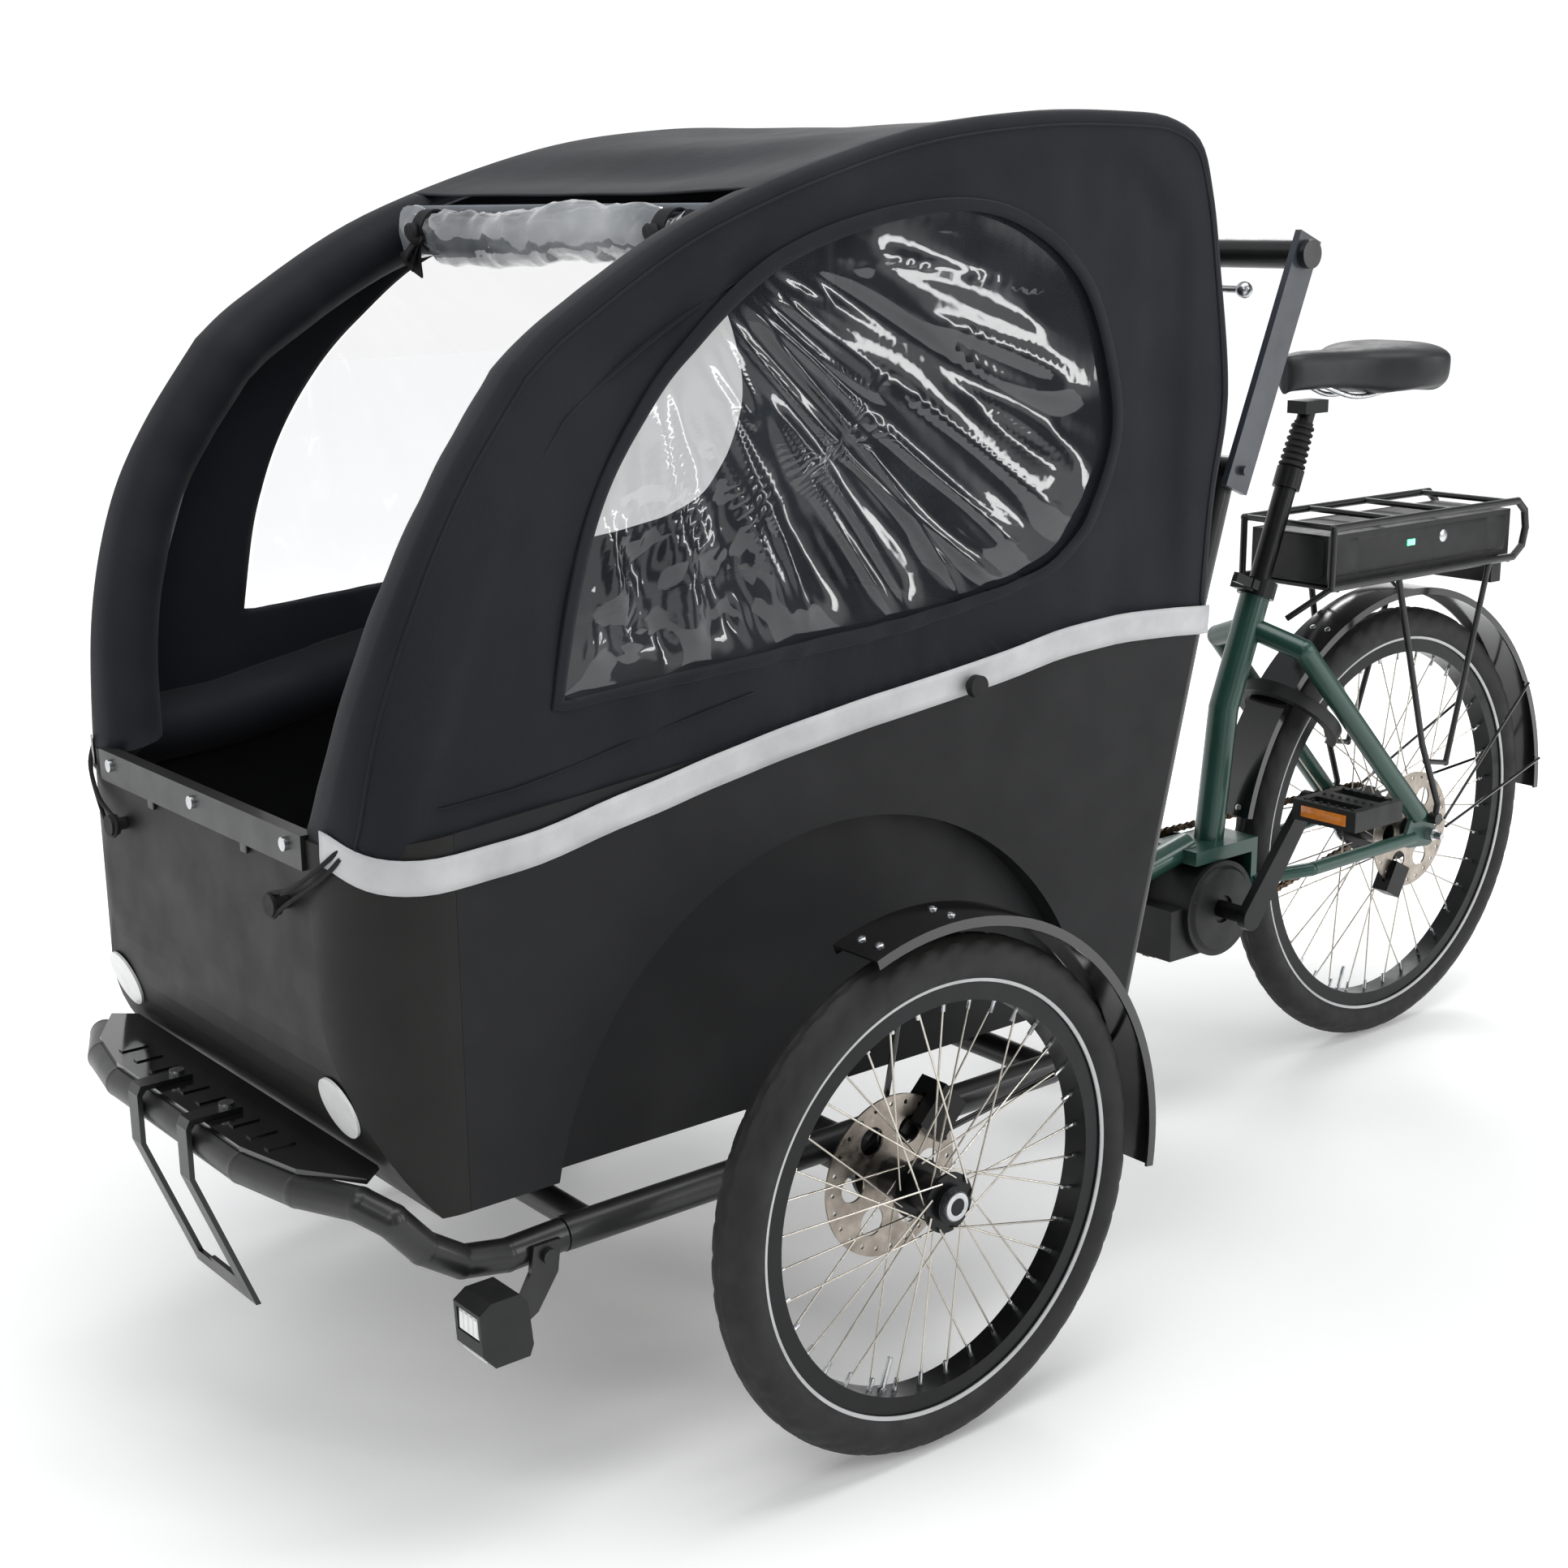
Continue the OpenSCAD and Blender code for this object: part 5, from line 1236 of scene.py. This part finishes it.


# Rivets on the mudguards, bolts on the motor, and the motor's cover.
def buildRivets():
    bm = bmesh.new()
    for side in (1, -1):
        for angle in (74, 92, 165, 184):
            out = ray(radians(angle))
            for y in (-0.012, 0.012):
                addBolt(bm, vec(frontAxle.x, side * 0.416 + y, frontAxle.z) + out * 0.2725, out, 0.0045,
                        0.0022)
    steelPiece("frontGuardRivets", bm, "front")
    bm = bmesh.new()
    for angle in (14, 62, 120, 176):
        out = ray(radians(angle))
        for y in (-0.012, 0.012):
            addBolt(bm, vec(rearAxle.x, y, rearAxle.z) + out * 0.33, out, 0.0042, 0.002)
    steelPiece("rearGuardRivets", bm, "rear")
    bm = bmesh.new()
    for k in range(6):
        a = radians(60 * k + 20)
        spot = crankAxis + vec(0.05 * cos(a), 0.0432, 0.05 * sin(a))
        addBolt(bm, spot, (0, 1, 0), 0.0045, 0.0025)
    steelPiece("motorBolts", bm, "rear")
    bm = bmesh.new()
    addTurned(bm, [(0.018, 0.0), (0.018, 0.004), (0.034, 0.0055), (0.052, 0.004), (0.056, 0.0)],
            crankAxis + vec(0, 0.0431, 0), (0, 1, 0), 64, closedProfile=True)
    makePiece("motorCover", bm, "grainedBlackPlastic", "rear", angle=30)


# Elastic loops from the hood's front corners, hooked over the two front knobs.
def buildKnobLoops():
    bm = bmesh.new()
    for side in (1, -1):
        knob = at(518, side * 165, 578)
        path = smoothPath([at(496, side * 249, 640), at(508, side * 232, 622), at(516, side * 196, 598),
                knob + vec(0, -side * 0.008, 0.007), knob + vec(0, -side * 0.0105, -0.003),
                knob + vec(0, 0.0, -0.0108), knob + vec(0, side * 0.011, -0.003), at(514, side * 202, 592),
                at(506, side * 236, 615), at(497, side * 250, 632)], 6)
        addTube(bm, path, 0.0021, 8)
    makePiece("hoodElastics", bm, "blackWebbing", "front")
    bm = bmesh.new()
    for side in (1, -1):
        addBlock(bm, at(505.5, side * 95 - 6, 606), at(508.5, side * 95 + 6, 634), 0.001)
    makePiece("railClips", bm, "satinBlackPowderCoat", "front")


buildLamps()
buildBattery()
buildPedals()
buildRivets()
buildKnobLoops()
print("small parts made")


def buildStudio():
    bm = bmesh.new()
    corners = [(-14, -14), (14, -14), (14, 2.6), (-14, 2.6)]
    bm.faces.new([bm.verts.new((x, y, 0)) for x, y in corners])
    mesh = bpy.data.meshes.new("studioFloor")
    bm.to_mesh(mesh)
    bm.free()
    floor = bpy.data.objects.new("studioFloor", mesh)
    link(floor)
    surface = Surface("paleFloor", **{"Specular IOR Level": 0.1})
    surface.tone(surface.shades(900, "#f6f6f5", "#fafaf9", 3.0))
    surface.gloss(300, 0.75, 0.85, 2.0)
    # The floor's emission is weak near the bicycle and strong far from it: a painted shadow under the bicycle
    # that fades into an evenly bright floor.
    away = addNode(surface.tree, "VectorMath", {0: surface.coords}, operation="LENGTH").outputs["Value"]
    paintedShadowFalloff = surface.ranged(away, 0.08, 0.62, 0.6, 2.0)
    surface.shader.inputs["Emission Color"].default_value = (1, 1, 1, 1)
    surface.tree.links.new(paintedShadowFalloff, surface.shader.inputs["Emission Strength"])
    mesh.materials.append(surface.material)
    world = bpy.data.worlds.new("studioWorld")
    bpy.context.scene.world = world
    world.use_nodes = True
    tree = world.node_tree
    tree.nodes.clear()
    where = addNode(tree, "TexCoord").outputs["Generated"]
    parts = addNode(tree, "SeparateXYZ", {"Vector": where})
    turn = addNode(tree, "Math", {0: parts.outputs["Y"], 1: parts.outputs["X"]}, operation="ARCTAN2")
    share = addNode(tree, "MapRange", {"Value": turn.outputs[0], "From Min": -pi, "From Max": pi})
    ramp = addNode(tree, "ValToRGB", {"Fac": share.outputs["Result"]})
    stops = ramp.color_ramp.elements
    for place, level in studioWalls[2:]:
        stops.new(place).color = (level, level, level, 1)
    for stop, (place, level) in zip((stops[0], stops[-1]), studioWalls[:2]):
        stop.position = place
        stop.color = (level, level, level, 1)
    height = addNode(tree, "MapRange", {"Value": parts.outputs["Z"], "From Min": 0.3, "From Max": 0.8})
    mixed = mixColours(tree, height.outputs["Result"], ramp.outputs["Color"], (0.3, 0.31, 0.33, 1))
    background = addNode(tree, "Background", {"Color": mixed, "Strength": 1.05})
    addNode(tree, "OutputWorld", {"Surface": background.outputs["Background"]})


# Brightness of the studio's walls by compass direction: white behind the bicycle, dark with bright
# strips on the side it is seen from, which is what the clear windows reflect.
studioWalls = [(0.0, 0.15), (1.0, 0.15), (0.035, 0.15), (0.055, 1.0), (0.5, 1.0), (0.56, 0.45), (0.62, 0.1),
        (0.67, 0.06), (0.685, 1.0), (0.71, 1.0), (0.725, 0.08), (0.765, 0.1), (0.78, 1.0), (0.825, 1.0),
        (0.84, 0.08), (0.865, 0.12), (0.88, 1.0), (0.915, 1.0), (0.93, 0.08)]
studioLights = {
    "overhead": dict(place=(0.2, 0.5, 3.4), target=(0.1, 0, 0.5), size=(3.4, 1.6), power=60),
    "frontLeft": dict(place=(2.6, 1.6, 2.6), target=(0.4, 0, 0.6), size=(1.4, 1.0), power=15),
    "sideStrip": dict(place=(-0.9, 3.4, 1.9), target=(0.1, 0, 0.8), size=(0.25, 2.2), power=22),
    "sideStripFar": dict(place=(-2.6, 2.6, 1.6), target=(0.0, 0, 0.8), size=(0.3, 2.4), power=24),
    "backRim": dict(place=(-2.6, -2.2, 2.8), target=(-0.2, 0, 0.8), size=(1.6, 1.0), power=34),
}


def buildLights():
    for name, setting in studioLights.items():
        data = bpy.data.lights.new(name, "AREA")
        data.shape = "RECTANGLE"
        data.size, data.size_y = setting["size"]
        data.energy = setting["power"]
        lamp = bpy.data.objects.new(name, data)
        link(lamp)
        lamp.location = setting["place"]
        aim = Vector(setting["target"]) - Vector(setting["place"])
        lamp.rotation_euler = aim.to_track_quat("-Z", "Y").to_euler()
        lamp.visible_camera = False


viewpoint = dict(place=(1321, 1847, 1143), yaw=231.2, pitch=14.4, roll=-0.6, lens=52.17)


def buildCamera():
    yaw, pitch, roll = (radians(viewpoint[k]) for k in ("yaw", "pitch", "roll"))
    forward = vec(cos(yaw) * cos(pitch), sin(yaw) * cos(pitch), -sin(pitch))
    right = vec(sin(yaw), -cos(yaw), 0)
    up = right.cross(forward)
    tiltedRight = right * cos(roll) + up * sin(roll)
    tiltedUp = up * cos(roll) - right * sin(roll)
    data = bpy.data.cameras.new("camera")
    data.sensor_width = 36
    data.lens = viewpoint["lens"]
    data.clip_start, data.clip_end = 0.05, 100
    camera = bpy.data.objects.new("camera", data)
    link(camera)
    turn = Matrix((tiltedRight, tiltedUp, -forward)).transposed().to_4x4()
    camera.matrix_world = Matrix.Translation(at(*viewpoint["place"])) @ turn
    bpy.context.scene.camera = camera


buildStudio()
buildLights()
buildCamera()
bpy.context.scene.view_settings.view_transform = "Standard"
bpy.context.view_layer.update()
print("scene built")
